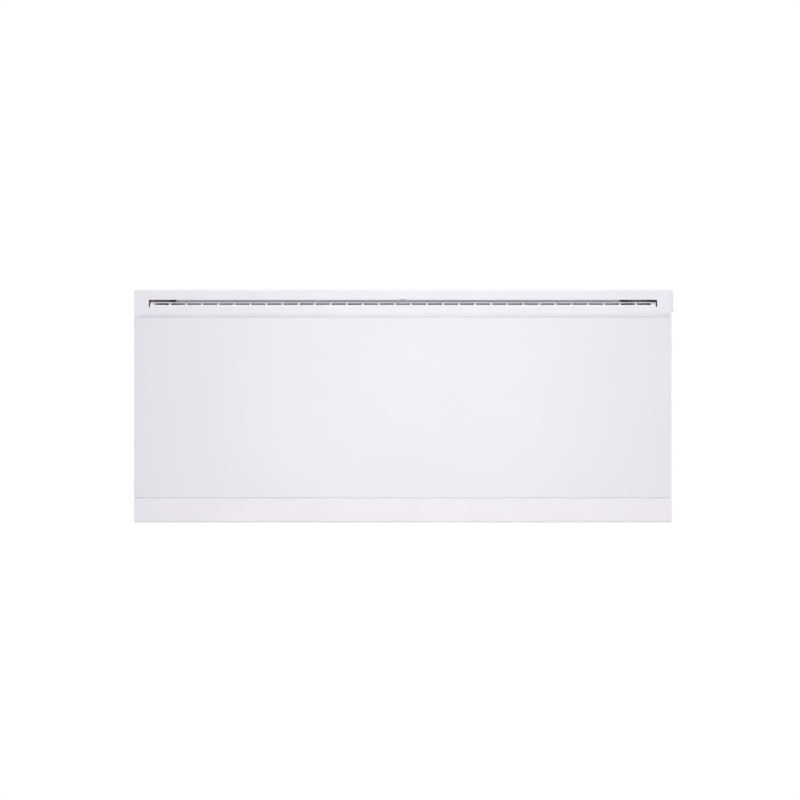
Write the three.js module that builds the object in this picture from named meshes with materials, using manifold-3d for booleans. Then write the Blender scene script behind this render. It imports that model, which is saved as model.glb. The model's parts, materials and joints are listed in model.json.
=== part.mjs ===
// Wall panel convector heater on its wall bracket.
// Millimetres, +Z up, X to the right, the front faces -Y and the wall is the plane Y = 0.
// The origin is on the wall, at the middle of the bracket's upper rail. Heights below are counted from
// the heater's lower edge, and the whole assembly is lowered to the origin at the end.

import * as THREE from 'three';
import { mergeVertices } from 'three/addons/utils/BufferGeometryUtils.js';
import Module from 'manifold-3d';

const wasm = await Module();
wasm.setup();

// ---- Clearances
const FIT = 0.3; // between pieces that seat on each other
const SLIDE = 0.25; // round a button or a screw in its hole
const PROUD = 1; // how far a cutter runs past what it cuts

// ---- Casing
const WIDTH = 784;
const HEIGHT = 340;
const BODY_DEPTH = 64;
const WALL_GAP = 22;
const CASING_SHEET = 1;
const CORNER_RADIUS = 2.5; // seen from the front
const EDGE_RADIUS = 3; // upper and lower front edges, seen from the side
const STEP_RADIUS = 0.8;
const LEAST_RADIUS = 0.4; // inside a bend
const TOP_BAND = 35.4;
const LOWER_BAND = 35.7;
const GROOVE_HEIGHT = 4.9;
const GROOVE_DEPTH = 2.7;
const GROOVE_END = 2.2;
const REAR_FLANGE = 12;

// ---- Air outlet: a slotted tongue slit free on three sides and bent inward
const OUTLET_FROM_TOP = 15.1;
const OUTLET_HEIGHT = 10.4;
const OUTLET_END = 21.3; // from an end wall to the outlet
const OUTLET_NOTCH_WIDTH = 8;
const OUTLET_NOTCH_HEIGHT = 0.9;
const TONGUE_ANGLE = 30;
const TONGUE_BEND = 2;
const TONGUE_END_GAP = 2;
const TONGUE_SLIT = 2.3;
const TONGUE_TIP_STRIP = 1.65;
const OUTLET_SLOT_LENGTH = 20.5;
const OUTLET_SLOT_WIDTH = 3.3;
const OUTLET_SLOT_WEB = 2.93;
const OUTLET_SLOT_MARGIN = 5;

// ---- Air intake in the bottom wall
const INTAKE_SLOT_LENGTH = 17;
const INTAKE_SLOT_WIDTH = 6;
const INTAKE_WEB = 7;
const INTAKE_ROWS = 2;
const INTAKE_ROW_PITCH = 14;
const INTAKE_MARGIN = 24;

// ---- Glass pane and its bonding strips
const GLASS_THICKNESS = 4;
const GLASS_SET_BACK = 0.6;
const GLASS_CORNER = 1.5;
const GLASS_CHAMFER = 0.25;
const TAPE_THICKNESS = 0.8;
const TAPE_WIDTH = 12;
const TAPE_INSET = 6;

// ---- Rear cover
const COVER_SHEET = 1;
const COVER_EDGE_GAP = 0.5;
const BEAD_HEIGHT = 1.8;
const BEAD_WIDTH = 16;
const BEAD_CORNER = 5.3;
const BEAD_PITCH = 62;
const BEAD_COUNT = 3;
const SCREWS_PER_EDGE = 4;
const SCREW_END_INSET = 34;
const SCREW_RADIUS = 1.9;
const SCREW_HEAD_RADIUS = 3.6;
const SCREW_HEAD_HEIGHT = 1.7;
const SCREW_LENGTH = 8;
const SCREW_SHOULDER = 0.45; // share of the head's height
const SCREW_CROWN = 0.6; // share of the head's radius

// ---- Wall bracket
const BRACKET_SHEET = 1.5;
const UPRIGHT_SPACING = 460;
const UPRIGHT_WIDTH = 34;
const UPRIGHT_OVER_LATCH = 14;
const UPRIGHT_CORNER = 6;
const RAIL_HEIGHT = 36;
const RAIL_LIP = 6;
const UPPER_RAIL = 226;
const LOWER_RAIL = 92;
const KEYHOLE_SPACING = 300;
const KEYHOLE_HEAD_RADIUS = 5;
const KEYHOLE_NECK = 5;
const KEYHOLE_DROP = 9;

// ---- Hooks that carry the heater and let it tilt
const PIVOT_HEIGHT = 30;
const TILT_ANGLE = 25;
const LIP_UNDER_PIVOT = 0.6;
const HOOK_LIFT = 6;
const HOOK_BASE = 3.5;
const HOOK_TIP = 2.6;
const HOOK_RELIEF = 0.8;
const HOOK_TAPER = 0.1;
const HOOK_CORNER = 1;
const HOOK_CLEARANCE = 0.8;
const HOOK_SLOT_HEIGHT = 17;
const HOOK_SLOT_SIDE = 1.2;

// ---- Spring latches
const LATCH_SHEET = 0.8;
const LATCH_WIDTH = 14;
const LATCH_FROM_TOP = 48;
const LATCH_FOOT = 26;
const LATCH_BARB = 3.2;
const LATCH_NOSE = 8;
const LATCH_REACH = 1.6; // past the cover it holds
const LATCH_SLOT_BELOW = 3;
const LATCH_SLOT_ABOVE = 0.8;
const RIVET_RADIUS = 2;
const RIVET_HEAD_RADIUS = 3.6;
const RIVET_HEAD_HEIGHT = 1.2;

// ---- Heating element
const SHEATH_RADIUS = 4;
const SHEATH_SPACING = 28;
const ELEMENT_HEIGHT = 78;
const ELEMENT_FROM_WALL = 50;
const ELEMENT_END = 36; // from the left end wall to the hairpin's bend
const FIN_SHEET = 0.7;
const FIN_PITCH = 18;
const FIN_DEPTH = 40;
const FIN_HEIGHT = 58;
const FIN_END = 14;
const COLLAR_WALL = 1.1;
const ELEMENT_BRACKET_SHEET = 1;
const ELEMENT_BRACKET_FOOT = 14;
const ELEMENT_BRACKET_CORNER = 4;
const ELEMENT_BRACKET_INSET = 5; // of the foot from the plate's edges
const ELEMENT_BRACKET_FROM_BEND = 4.7;
const SHEATH_PAST_BUSHING = 5;
const BUSHING_WALL = 3;
const BUSHING_RIM = 2.4;
const BUSHING_RIM_THICKNESS = 2.2;
const TERMINAL_LENGTH = 9;
const TERMINAL_PIN = 9;
const TERMINAL_PIN_RADIUS = 1.2;
const TERMINAL_RADIUS = 3.6;
const TERMINAL_CONE = 2;

// ---- Inner sheets
const BAY_WIDTH = 69; // wiring bay at the right end
const PARTITION_SHEET = 1;
const PARTITION_FROM_TOP = 42;
const PARTITION_FLANGE = 10;
const GUIDE_SHEET = 0.7;
const GUIDE_LEFT = 61; // from the left end wall to the guide
const GUIDE_RIGHT = 6; // from the partition to the guide
const GUIDE_BELOW_LATCH = 28;
const GUIDE_RISE = 23; // its upright part along the rear cover
const GUIDE_BEND = 3;
const GUIDE_CLEARANCE = 4; // above the outlet
const GUIDE_DROP = 4; // below the outlet, where its slope turns steep
const GUIDE_LEAN = 3; // how far the steep part leans back over its height
const GUIDE_FROM_FRONT = 8.5; // from the front to the steep part's upper edge
const GUIDE_WINDOW_SIDE = 2.4; // beside a latch
const SHIELD_SHEET = 0.6;
const SHIELD_STAND_OFF = 5;
const SHIELD_BOTTOM = 42;
const SHIELD_TOP = 206;
const SHIELD_FLANGE = 10;
const SHIELD_END = 20;
const SHIELD_BEND = 1.5;

// ---- Control unit in the right end wall
const CONTROL_FROM_TOP = 2.5;
const CONTROL_HEIGHT = 30;
const CONTROL_LENGTH = 53.5;
const CONTROL_FROM_BACK = 7;
const BEZEL_PROUD = 2.5;
const BEZEL_RIM = 2;
const HOUSING_DEPTH = 33;
const HOUSING_WALL = 1.4;
const BOARD_THICKNESS = 1.6;
const BOARD_FROM_WALL = 11;
const BOARD_GAP = 0.6;
const BUTTON_RADIUS = 2.6;
const BUTTON_PITCH = 6.8;
const BUTTON_PROUD = 1;
const BUTTON_FLANGE = 0.7;
const BUTTON_RIM = 0.35; // of its flange, beyond the hole
const BUTTON_STEM = 1.55;
const BUTTON_EDGE = 0.4;
const BUTTON_DISH = 0.2;
const BUTTON_TRAVEL = 0.8;
const TACT_HEIGHT = 3.6;
const TACT_CASE = 2.5;
const TACT_SIZE = 5;
const TACT_RADIUS = 1.3;
const WINDOW_LENGTH = 18.4;
const WINDOW_HEIGHT = 12;
const WINDOW_THICKNESS = 1;
const WINDOW_LEDGE = 1;
const DISPLAY_THICKNESS = 7;
const RELAY_HEIGHT = 15;
const RELAY_LENGTH = 18;
const RELAY_WIDTH = 12;
const SMALL_CORNER = 1; // of the relay, the window and its recess
const BEZEL_CORNER = 2;
const DISPLAY_RIM = 0.8;
const DISPLAY_SUNK = 0.6;
const PORT_PLACES = [4.6, 9.1, 37.1]; // along the housing's inside, from its front end

// ---- Mains switch in the right end wall
const SWITCH_FROM_TOP = 88;
const SWITCH_BODY_LENGTH = 22;
const SWITCH_BODY_WIDTH = 13;
const SWITCH_BODY_DEPTH = 20;
const SWITCH_RIM = 1.6;
const SWITCH_RIM_THICKNESS = 1.2;
const SWITCH_WELL_DEPTH = 8;
const SWITCH_WALL = 1.6;
const ROCKER_THROW = 20;
const ROCKER_CLEARANCE = 0.45;
const ROCKER_SUNK = 1.2; // its pivot, below the rim's seat
const ROCKER_RISE = 1.2;
const ROCKER_DISH = 0.9;
const ROCKER_KEEL = 4;
const ROCKER_PIN = 1;
const ROCKER_PIN_REACH = 1;
const TAB_WIDTH = 4.8;
const TAB_THICKNESS = 0.8;
const TAB_LENGTH = 7;
const SWITCH_RIM_CORNER = 1.5;

// ---- Mains inlet and the rest of the wiring bay
const GLAND_HEIGHT = 64;
const GLAND_INSET = 34; // from the right end wall
const GLAND_RADIUS = 8;
const GLAND_THREAD = 6;
const GLAND_BORE = 3.8;
const GLAND_OUTSIDE = 8;
const GLAND_CONE = 3.2;
const GLAND_MOUTH_RADIUS = 5.6;
const GLAND_INSIDE = 11;
const GLAND_NUT = 5;
const GLAND_NUT_RADIUS = 10;
const BLOCK_DEPTH = 14;
const BLOCK_LENGTH = 26;
const BLOCK_TALL = 32;
const BLOCK_OVER_BUSHING = 9.3;
const BLOCK_WAYS = 3;
const BLOCK_WELL = 2.6;
const BLOCK_WELL_DEPTH = 6;
const BLOCK_GROOVE = 1.2;
const BLOCK_GROOVE_DEPTH = 4;
const CUTOUT_OVER_BLOCK = 17.5;
const CUTOUT_RADIUS = 7.5;
const CUTOUT_DEPTH = 8;
const CUTOUT_CAP_RADIUS = 5;
const CUTOUT_FLANGE = 26;
const CUTOUT_FLANGE_SHEET = 1;
const CUTOUT_FLANGE_CORNER = 3;
const CUTOUT_CAP_REACH = 2; // into the chamber, past the partition
const EARTH_RADIUS = 2;
const EARTH_NUT_RADIUS = 4;
const EARTH_NUT = 3.2;
const EARTH_LENGTH = 12;
const EARTH_INSET = 27;
const EARTH_FORWARD = 10; // of the element
const SENSOR_RADIUS = 2;
const SENSOR_LENGTH = 9;
const SENSOR_HEIGHT = 12;
const SENSOR_INSET = 20;
const SENSOR_FROM_WALL = 40;
const CLIP_WALL = 1.4;
const CLIP_LENGTH = 6;
const CLIP_MOUTH = 3.2;
const LEAD_RADIUS = 1.1;
const LEAD_STUB = 3; // straight out of a terminal
const LEAD_STEP = 4; // the free stretches of the routes are counted in these

// ---- Fineness of round forms
const ROUND = 12;
const SMALL_ROUND = 8;
const BEND_STEPS = 4;
const HAIRPIN_STEPS = 10;
const LEAD_SIDES = 6;
const LEAD_STEPS = 18;

// ---- Places that follow from the sizes above
const RIGHT = WIDTH / 2;
const BACK = -WALL_GAP;
const FRONT = BACK - BODY_DEPTH;
const GLASS_FRONT = FRONT + GLASS_SET_BACK;
const GLASS_BACK = GLASS_FRONT + GLASS_THICKNESS;
const RECESS_FLOOR = GLASS_BACK + TAPE_THICKNESS + 2 * FIT;
const INNER_FLOOR = RECESS_FLOOR + CASING_SHEET;
const GROOVE_FLOOR = FRONT + GROOVE_DEPTH;
const BAND_BOTTOM = HEIGHT - TOP_BAND;
const RECESS_TOP = BAND_BOTTOM - GROOVE_HEIGHT;
const COVER_FRONT = BACK - COVER_SHEET;
const COVER_MIDDLE = BACK - COVER_SHEET / 2;
const FLANGE_BACK = COVER_FRONT - FIT;
const FLANGE_FRONT = FLANGE_BACK - CASING_SHEET;
const OUTLET_TOP = HEIGHT - OUTLET_FROM_TOP;
const OUTLET_BOTTOM = OUTLET_TOP - OUTLET_HEIGHT;
const OUTLET_HALF = RIGHT - OUTLET_END;
const TONGUE_HALF = OUTLET_HALF - TONGUE_END_GAP;
const END_WALL = RIGHT - CASING_SHEET; // inner face of either end wall
const PARTITION = RIGHT - BAY_WIDTH; // the partition's face in the bay
const ELEMENT_Y = -ELEMENT_FROM_WALL;
const LATCH_HEIGHT = HEIGHT - LATCH_FROM_TOP;
const UPRIGHT_TOP = LATCH_HEIGHT + UPRIGHT_OVER_LATCH;
const PARTITION_TOP = HEIGHT - PARTITION_FROM_TOP;
const GUIDE_FOOT = LATCH_HEIGHT - GUIDE_BELOW_LATCH;
const CONTROL_TOP = HEIGHT - CONTROL_FROM_TOP;
const CONTROL_LOW = CONTROL_TOP - CONTROL_HEIGHT;
const SWITCH_HEIGHT = HEIGHT - SWITCH_FROM_TOP;
const BUSHING_OUTER = SHEATH_RADIUS + FIT + BUSHING_WALL;
const BUSHING_TOP = ELEMENT_HEIGHT + SHEATH_SPACING / 2 + BUSHING_OUTER + BUSHING_RIM;
const BLOCK_HEIGHT = BUSHING_TOP + BLOCK_OVER_BUSHING + BLOCK_TALL / 2;
const CUTOUT_HEIGHT = BLOCK_HEIGHT + BLOCK_TALL / 2 + CUTOUT_OVER_BLOCK + CUTOUT_RADIUS;
const DEGREE = Math.PI / 180;
const TILT = TILT_ANGLE * DEGREE;

// ---- Finishes: colour, roughness, metalness
const PAINT = [0xf3f2f6, 0.42, 0];
const GLASS = [0xeef0f4, 0.06, 0];
const TAPE = [0xd9d9d6, 0.9, 0];
const ZINC = [0xb9bcbf, 0.42, 0.9];
const SCREW_STEEL = [0xa6a8aa, 0.35, 1];
const SPRING_STEEL = [0x8d9196, 0.3, 1];
const ALUMINIUM = [0xc9ccd0, 0.38, 1];
const SHEATH = [0x77726c, 0.45, 0.9];
const WHITE_PLASTIC = [0xeeeef0, 0.5, 0];
const GREY_PLASTIC = [0x8f9296, 0.6, 0];
const BLACK_PLASTIC = [0x1f2022, 0.5, 0];
const DARK_WINDOW = [0x121417, 0.08, 0];
const CERAMIC = [0xe7e2d6, 0.6, 0];
const BOARD_GREEN = [0x2c6a45, 0.5, 0];
const BRASS = [0xb99b57, 0.35, 1];
const RED_LEAD = [0x9c3128, 0.55, 0];
const BROWN_LEAD = [0x6b4530, 0.55, 0];
const BLUE_LEAD = [0x2f5c99, 0.55, 0];
const GREEN_LEAD = [0x6f9c3a, 0.55, 0];

// ---- Solids and joins

function weld(geometry) {
  const bare = geometry.clone();
  bare.deleteAttribute('normal');
  bare.deleteAttribute('uv');
  return mergeVertices(bare, 1e-4);
}

function solid(geometry) {
  const welded = weld(geometry);
  const vertProperties = new Float32Array(welded.attributes.position.array);
  const triVerts = new Uint32Array(welded.index.array);
  return new wasm.Manifold(new wasm.Mesh({ numProp: 3, vertProperties, triVerts }));
}

function join(...parts) {
  return wasm.Manifold.union(parts.flat(2));
}

function cut(body, ...tools) {
  return body.subtract(join(tools));
}

function surface(body) {
  const { vertProperties, triVerts } = body.getMesh();
  const geometry = new THREE.BufferGeometry();
  geometry.setAttribute('position', new THREE.BufferAttribute(new Float32Array(vertProperties), 3));
  geometry.setIndex(new THREE.BufferAttribute(new Uint32Array(triVerts), 1));
  const faceted = geometry.toNonIndexed();
  faceted.computeVertexNormals();
  return faceted;
}

const pieces = new THREE.Group();

function add(name, body, [color, roughness, metalness]) {
  const material = new THREE.MeshStandardMaterial({ color, roughness, metalness });
  const mesh = new THREE.Mesh(surface(body), material);
  mesh.name = name;
  pieces.add(mesh);
}

// ---- Outlines

// A closed outline from corners [u, v, radius], each corner rounded by its radius.
function rounded(corners) {
  const at = corners.map(([u, v]) => new THREE.Vector2(u, v));
  const shape = new THREE.Shape();
  corners.forEach(([, , radius = 0], i) => {
    const corner = at[i];
    const before = at[(i + at.length - 1) % at.length];
    const after = at[(i + 1) % at.length];
    const start = corner.clone().addScaledVector(before.clone().sub(corner).normalize(), radius);
    const end = corner.clone().addScaledVector(after.clone().sub(corner).normalize(), radius);
    if (i === 0) shape.moveTo(start.x, start.y);
    else shape.lineTo(start.x, start.y);
    if (radius > 0) shape.quadraticCurveTo(corner.x, corner.y, end.x, end.y);
  });
  shape.closePath();
  return shape;
}

function rectangle(u0, u1, v0, v1, radius = 0) {
  return rounded([
    [u0, v0, radius],
    [u1, v0, radius],
    [u1, v1, radius],
    [u0, v1, radius],
  ]);
}

// The outline of folded sheet: a line through the points, its corners bent to the radius, with thickness.
function strip(points, thickness, bend) {
  const corners = points.map(([u, v]) => new THREE.Vector2(u, v));
  const heading = (i) => corners[i + 1].clone().sub(corners[i]).normalize();
  const left = (way) => new THREE.Vector2(-way.y, way.x);
  const path = [];
  const mark = (at, way) => path.push({ at, side: left(way) });
  mark(corners[0], heading(0));
  for (let i = 1; i < corners.length - 1; i++) {
    const arriving = heading(i - 1);
    const leaving = heading(i);
    const turn = Math.atan2(arriving.cross(leaving), arriving.dot(leaving));
    const reach = bend * Math.tan(Math.abs(turn) / 2);
    const hand = Math.sign(turn);
    const start = corners[i].clone().addScaledVector(arriving, -reach);
    const centre = start.clone().addScaledVector(left(arriving), hand * bend);
    for (let k = 0; k <= BEND_STEPS; k++) {
      const way = arriving.clone().rotateAround(new THREE.Vector2(), (turn * k) / BEND_STEPS);
      mark(centre.clone().addScaledVector(left(way), -hand * bend), way);
    }
  }
  mark(corners[corners.length - 1], heading(corners.length - 2));
  const face = (sign) => path.map(({ at, side }) => at.clone().addScaledVector(side, (sign * thickness) / 2));
  return new THREE.Shape([...face(1), ...face(-1).reverse()]);
}

// ---- Prisms and turned forms

function prism(shape, from, to, basis, segments) {
  const options = { depth: to - from, bevelEnabled: false, curveSegments: segments };
  const geometry = new THREE.ExtrudeGeometry(shape, options);
  geometry.translate(0, 0, from);
  geometry.applyMatrix4(basis);
  return solid(geometry);
}

const axis = { x: new THREE.Vector3(1, 0, 0), y: new THREE.Vector3(0, 1, 0), z: new THREE.Vector3(0, 0, 1) };
const ALONG_X = new THREE.Matrix4().makeBasis(axis.y, axis.z, axis.x); // outline in (y, z)
const ALONG_Y = new THREE.Matrix4().makeBasis(axis.z, axis.x, axis.y); // outline in (z, x)
const ALONG_Z = new THREE.Matrix4(); // outline in (x, y)

const prismX = (shape, x0, x1, segments = BEND_STEPS) => prism(shape, x0, x1, ALONG_X, segments);
const prismY = (shape, y0, y1, segments = BEND_STEPS) => prism(shape, y0, y1, ALONG_Y, segments);
const prismZ = (shape, z0, z1, segments = BEND_STEPS) => prism(shape, z0, z1, ALONG_Z, segments);

function box([x0, x1], [y0, y1], [z0, z1]) {
  const geometry = new THREE.BoxGeometry(x1 - x0, y1 - y0, z1 - z0);
  geometry.translate((x0 + x1) / 2, (y0 + y1) / 2, (z0 + z1) / 2);
  return solid(geometry);
}

const span = (middle, size) => [middle - size / 2, middle + size / 2];

// A hole's polygon is drawn outside its circle, so that a round piece of the same radius stays clear of it.
const roundHole = (radius, sides) => radius / Math.cos(Math.PI / sides);

const TURN_TO = {
  x: new THREE.Matrix4().makeRotationZ(-Math.PI / 2),
  y: new THREE.Matrix4(),
  z: new THREE.Matrix4().makeRotationX(Math.PI / 2),
};

// A turned piece from a profile of [radius, distance along the axis], at a point, its axis along x, y or z.
function turned(profile, sides, way, [x, y, z]) {
  const points = profile.map(([radius, along]) => new THREE.Vector2(radius, along));
  const geometry = new THREE.LatheGeometry(points, sides);
  geometry.applyMatrix4(TURN_TO[way]);
  geometry.translate(x, y, z);
  return solid(geometry);
}

function rod(radius, from, to, sides, way, at) {
  const profile = [[0, from], [radius, from], [radius, to], [0, to]];
  return turned(profile, sides, way, at);
}

function repeat(count, make) {
  return Array.from({ length: count }, (_, i) => make(i));
}

// ---- Casing

function casingOutline(inset, rear, grooved) {
  const front = FRONT + inset;
  const floor = RECESS_FLOOR + inset;
  const groove = GROOVE_FLOOR + inset;
  const edge = Math.max(EDGE_RADIUS - inset, LEAST_RADIUS);
  const underBand = [
    [groove, RECESS_TOP + inset],
    [groove, BAND_BOTTOM + inset],
    [front, BAND_BOTTOM + inset],
  ];
  return rounded([
    [rear, inset],
    [front, inset, edge],
    [front, LOWER_BAND - inset, STEP_RADIUS],
    [floor, LOWER_BAND - inset],
    [floor, RECESS_TOP + inset],
    ...(grooved ? underBand : [[front, RECESS_TOP + inset]]),
    [front, HEIGHT - inset, edge],
    [rear, HEIGHT - inset],
  ]);
}

function casingBlock(inset, rear, grooved) {
  const half = RIGHT - inset;
  const radius = Math.max(CORNER_RADIUS - inset, LEAST_RADIUS);
  const side = prismX(casingOutline(inset, rear, grooved), -half, half);
  const face = rectangle(inset, HEIGHT - inset, -half, half, radius);
  return side.intersect(prismY(face, FRONT - PROUD, rear));
}

function rearOpening() {
  const inset = CASING_SHEET + REAR_FLANGE;
  const inside = [CASING_SHEET, HEIGHT - CASING_SHEET];
  const pocket = box([-END_WALL, END_WALL], [FLANGE_BACK, BACK + PROUD], inside);
  const mouth = box([inset - RIGHT, RIGHT - inset], [FLANGE_FRONT - PROUD, BACK], [inset, HEIGHT - inset]);
  return [pocket, mouth];
}

function outletCutters() {
  const sheet = [FRONT - PROUD, FRONT + CASING_SHEET + PROUD];
  const opening = box([-OUTLET_HALF, OUTLET_HALF], sheet, [OUTLET_BOTTOM, OUTLET_TOP]);
  const notchTop = OUTLET_TOP + OUTLET_NOTCH_HEIGHT;
  const notch = box(span(0, OUTLET_NOTCH_WIDTH), sheet, [OUTLET_TOP - PROUD, notchTop]);
  return [opening, notch];
}

// The tongue's middle line, from inside the band round the bend to its free edge.
function tongueLine() {
  const angle = TONGUE_ANGLE * DEGREE;
  const middle = FRONT + CASING_SHEET / 2;
  const reach = TONGUE_BEND * Math.tan(angle / 2);
  const straight = OUTLET_HEIGHT - TONGUE_SLIT - (TONGUE_BEND + CASING_SHEET / 2) * angle;
  const corner = new THREE.Vector2(middle, OUTLET_BOTTOM + reach);
  const way = new THREE.Vector2(Math.sin(angle), Math.cos(angle));
  const tip = corner.clone().addScaledVector(way, reach + straight);
  const root = new THREE.Vector2(middle, OUTLET_BOTTOM - 2 * PROUD);
  return { root, corner, tip, way };
}

function slottedTongue() {
  const { root, corner, tip, way } = tongueLine();
  const line = [root, corner, tip].map(({ x, y }) => [x, y]);
  const tongue = prismX(strip(line, CASING_SHEET, TONGUE_BEND), -TONGUE_HALF, TONGUE_HALF);
  const normal = new THREE.Vector2(-way.y, way.x).multiplyScalar(CASING_SHEET);
  const upper = tip.clone().addScaledVector(way, -TONGUE_TIP_STRIP);
  const lower = upper.clone().addScaledVector(way, -OUTLET_SLOT_WIDTH);
  const corners = [upper.clone().add(normal), upper.clone().sub(normal)];
  corners.push(lower.clone().sub(normal), lower.clone().add(normal));
  const pitch = OUTLET_SLOT_LENGTH + OUTLET_SLOT_WEB;
  const room = 2 * (TONGUE_HALF - OUTLET_SLOT_MARGIN) + OUTLET_SLOT_WEB;
  const count = Math.floor(room / pitch);
  const slots = repeat(count, (i) => {
    const [x0, x1] = span((i - (count - 1) / 2) * pitch, OUTLET_SLOT_LENGTH);
    return prismX(new THREE.Shape(corners), x0, x1);
  });
  return cut(tongue, slots);
}

function intakeSlots() {
  const pitch = INTAKE_SLOT_LENGTH + INTAKE_WEB;
  const left = -END_WALL + INTAKE_MARGIN;
  const count = Math.floor((PARTITION - INTAKE_MARGIN / 2 - left + INTAKE_WEB) / pitch);
  const middleY = (FLANGE_FRONT + INNER_FLOOR) / 2;
  const bays = repeat(INTAKE_ROWS, (row) => {
    const y = middleY + (row - (INTAKE_ROWS - 1) / 2) * INTAKE_ROW_PITCH;
    return repeat(count, (i) => {
      const x = left + i * pitch;
      const outline = rectangle(x, x + INTAKE_SLOT_LENGTH, ...span(y, INTAKE_SLOT_WIDTH));
      return prismZ(outline, -PROUD, CASING_SHEET + PROUD);
    });
  });
  return bays.flat();
}

function screwPlaces() {
  const half = RIGHT - SCREW_END_INSET;
  const heights = [CASING_SHEET + REAR_FLANGE / 2, HEIGHT - CASING_SHEET - REAR_FLANGE / 2];
  const step = (2 * half) / (SCREWS_PER_EDGE - 1);
  return heights.flatMap((z) => repeat(SCREWS_PER_EDGE, (i) => [i * step - half, z]));
}

function screwHoles(y0, y1) {
  const radius = roundHole(SCREW_RADIUS + SLIDE, SMALL_ROUND);
  return screwPlaces().map(([x, z]) => rod(radius, y0, y1, SMALL_ROUND, 'y', [x, 0, z]));
}

const CONTROL_Y = [BACK - CONTROL_FROM_BACK - CONTROL_LENGTH, BACK - CONTROL_FROM_BACK];
const HOUSING_Y = [CONTROL_Y[0] + BEZEL_RIM, CONTROL_Y[1] - BEZEL_RIM];
const HOUSING_Z = [CONTROL_LOW + BEZEL_RIM, CONTROL_TOP - BEZEL_RIM];
const SWITCH_Y = (CONTROL_Y[0] + CONTROL_Y[1]) / 2;

function grow([low, high], by) {
  return [low - by, high + by];
}

function endWallCutouts() {
  const sheet = [END_WALL - PROUD, RIGHT + PROUD];
  const control = box(sheet, grow(HOUSING_Y, FIT), grow(HOUSING_Z, FIT));
  const switchY = span(SWITCH_Y, SWITCH_BODY_WIDTH);
  const switchZ = span(SWITCH_HEIGHT, SWITCH_BODY_LENGTH);
  return [control, box(sheet, grow(switchY, FIT), grow(switchZ, FIT))];
}

function frontCasing() {
  const hollow = casingBlock(CASING_SHEET, FLANGE_FRONT, true);
  const grooveHalf = RIGHT - GROOVE_END;
  const grooveDepth = [FRONT - PROUD, GROOVE_FLOOR];
  const groove = box([-grooveHalf, grooveHalf], grooveDepth, [RECESS_TOP - PROUD, BAND_BOTTOM]);
  const holes = screwHoles(FLANGE_FRONT - PROUD, FLANGE_BACK + PROUD);
  const shell = casingBlock(0, BACK, false);
  const cutters = [hollow, groove, rearOpening(), outletCutters(), intakeSlots(), endWallCutouts(), holes];
  return join(cut(shell, cutters.flat()), slottedTongue());
}

// ---- Glass and tape

function glassPanel() {
  const low = LOWER_BAND + FIT;
  const high = RECESS_TOP - FIT;
  const outline = rectangle(low, high, -RIGHT, RIGHT, GLASS_CORNER);
  const options = { depth: GLASS_THICKNESS - 2 * GLASS_CHAMFER, curveSegments: BEND_STEPS };
  const bevel = { bevelSize: GLASS_CHAMFER, bevelOffset: -GLASS_CHAMFER, bevelThickness: GLASS_CHAMFER };
  const geometry = new THREE.ExtrudeGeometry(outline, { ...options, ...bevel, bevelSegments: 1 });
  geometry.translate(0, 0, GLASS_FRONT + GLASS_CHAMFER);
  geometry.applyMatrix4(ALONG_Y);
  return solid(geometry);
}

function glassTapes() {
  const depth = [GLASS_BACK + FIT, GLASS_BACK + FIT + TAPE_THICKNESS];
  const low = LOWER_BAND + FIT + TAPE_INSET;
  const high = RECESS_TOP - FIT - TAPE_INSET;
  const outer = RIGHT - TAPE_INSET;
  const upright = [low + TAPE_WIDTH + FIT, high - TAPE_WIDTH - FIT];
  add('glass_tape_bottom', box([-outer, outer], depth, [low, low + TAPE_WIDTH]), TAPE);
  add('glass_tape_top', box([-outer, outer], depth, [high - TAPE_WIDTH, high]), TAPE);
  add('glass_tape_left', box([-outer, TAPE_WIDTH - outer], depth, upright), TAPE);
  add('glass_tape_right', box([outer - TAPE_WIDTH, outer], depth, upright), TAPE);
}

// ---- Rear cover

const UPRIGHT_X = UPRIGHT_SPACING / 2;
const FLANGE_X = (UPRIGHT_WIDTH - BRACKET_SHEET) / 2; // from an upright's middle to its flanges' middles
const LIP = PIVOT_HEIGHT - LIP_UNDER_PIVOT; // the cover's edge that stands in the hooks

function coverBead(middle, x0, x1) {
  const raised = (inset, y0, y1) => {
    const [low, high] = grow(span(middle, BEAD_WIDTH), -inset);
    const outline = rectangle(low, high, x0 + inset, x1 - inset, BEAD_CORNER);
    return prismY(outline, y0, y1, 2);
  };
  const bump = raised(0, COVER_MIDDLE, BACK + BEAD_HEIGHT);
  const dent = raised(COVER_SHEET, COVER_FRONT - PROUD, BACK + BEAD_HEIGHT - COVER_SHEET);
  return { bump, dent };
}

function coverBeads() {
  const reach = UPRIGHT_X - UPRIGHT_WIDTH / 2 - BEAD_WIDTH;
  const outside = [UPRIGHT_X + UPRIGHT_WIDTH / 2 + BEAD_WIDTH, RIGHT - SCREW_END_INSET];
  return repeat(BEAD_COUNT, (i) => {
    const z = HEIGHT / 2 + (i - (BEAD_COUNT - 1) / 2) * BEAD_PITCH;
    return [coverBead(z, -reach, reach), coverBead(z, -outside[1], -outside[0]), coverBead(z, ...outside)];
  }).flat();
}

function hookSlots() {
  const width = BRACKET_SHEET + 2 * HOOK_SLOT_SIDE;
  const places = [-1, 1].flatMap((hand) => [-1, 1].map((side) => hand * UPRIGHT_X + side * FLANGE_X));
  const sheet = [COVER_FRONT - PROUD, BACK + PROUD];
  return places.map((x) => box(span(x, width), sheet, [LIP - HOOK_SLOT_HEIGHT, LIP]));
}

function latchSlots() {
  const sheet = [COVER_FRONT - PROUD, BACK + PROUD];
  const z = [LATCH_HEIGHT - LATCH_SLOT_BELOW, LATCH_HEIGHT + LATCH_SHEET / 2 + LATCH_SLOT_ABOVE];
  return [-UPRIGHT_X, UPRIGHT_X].map((x) => box(span(x, LATCH_WIDTH + 2 * HOOK_SLOT_SIDE), sheet, z));
}

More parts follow.
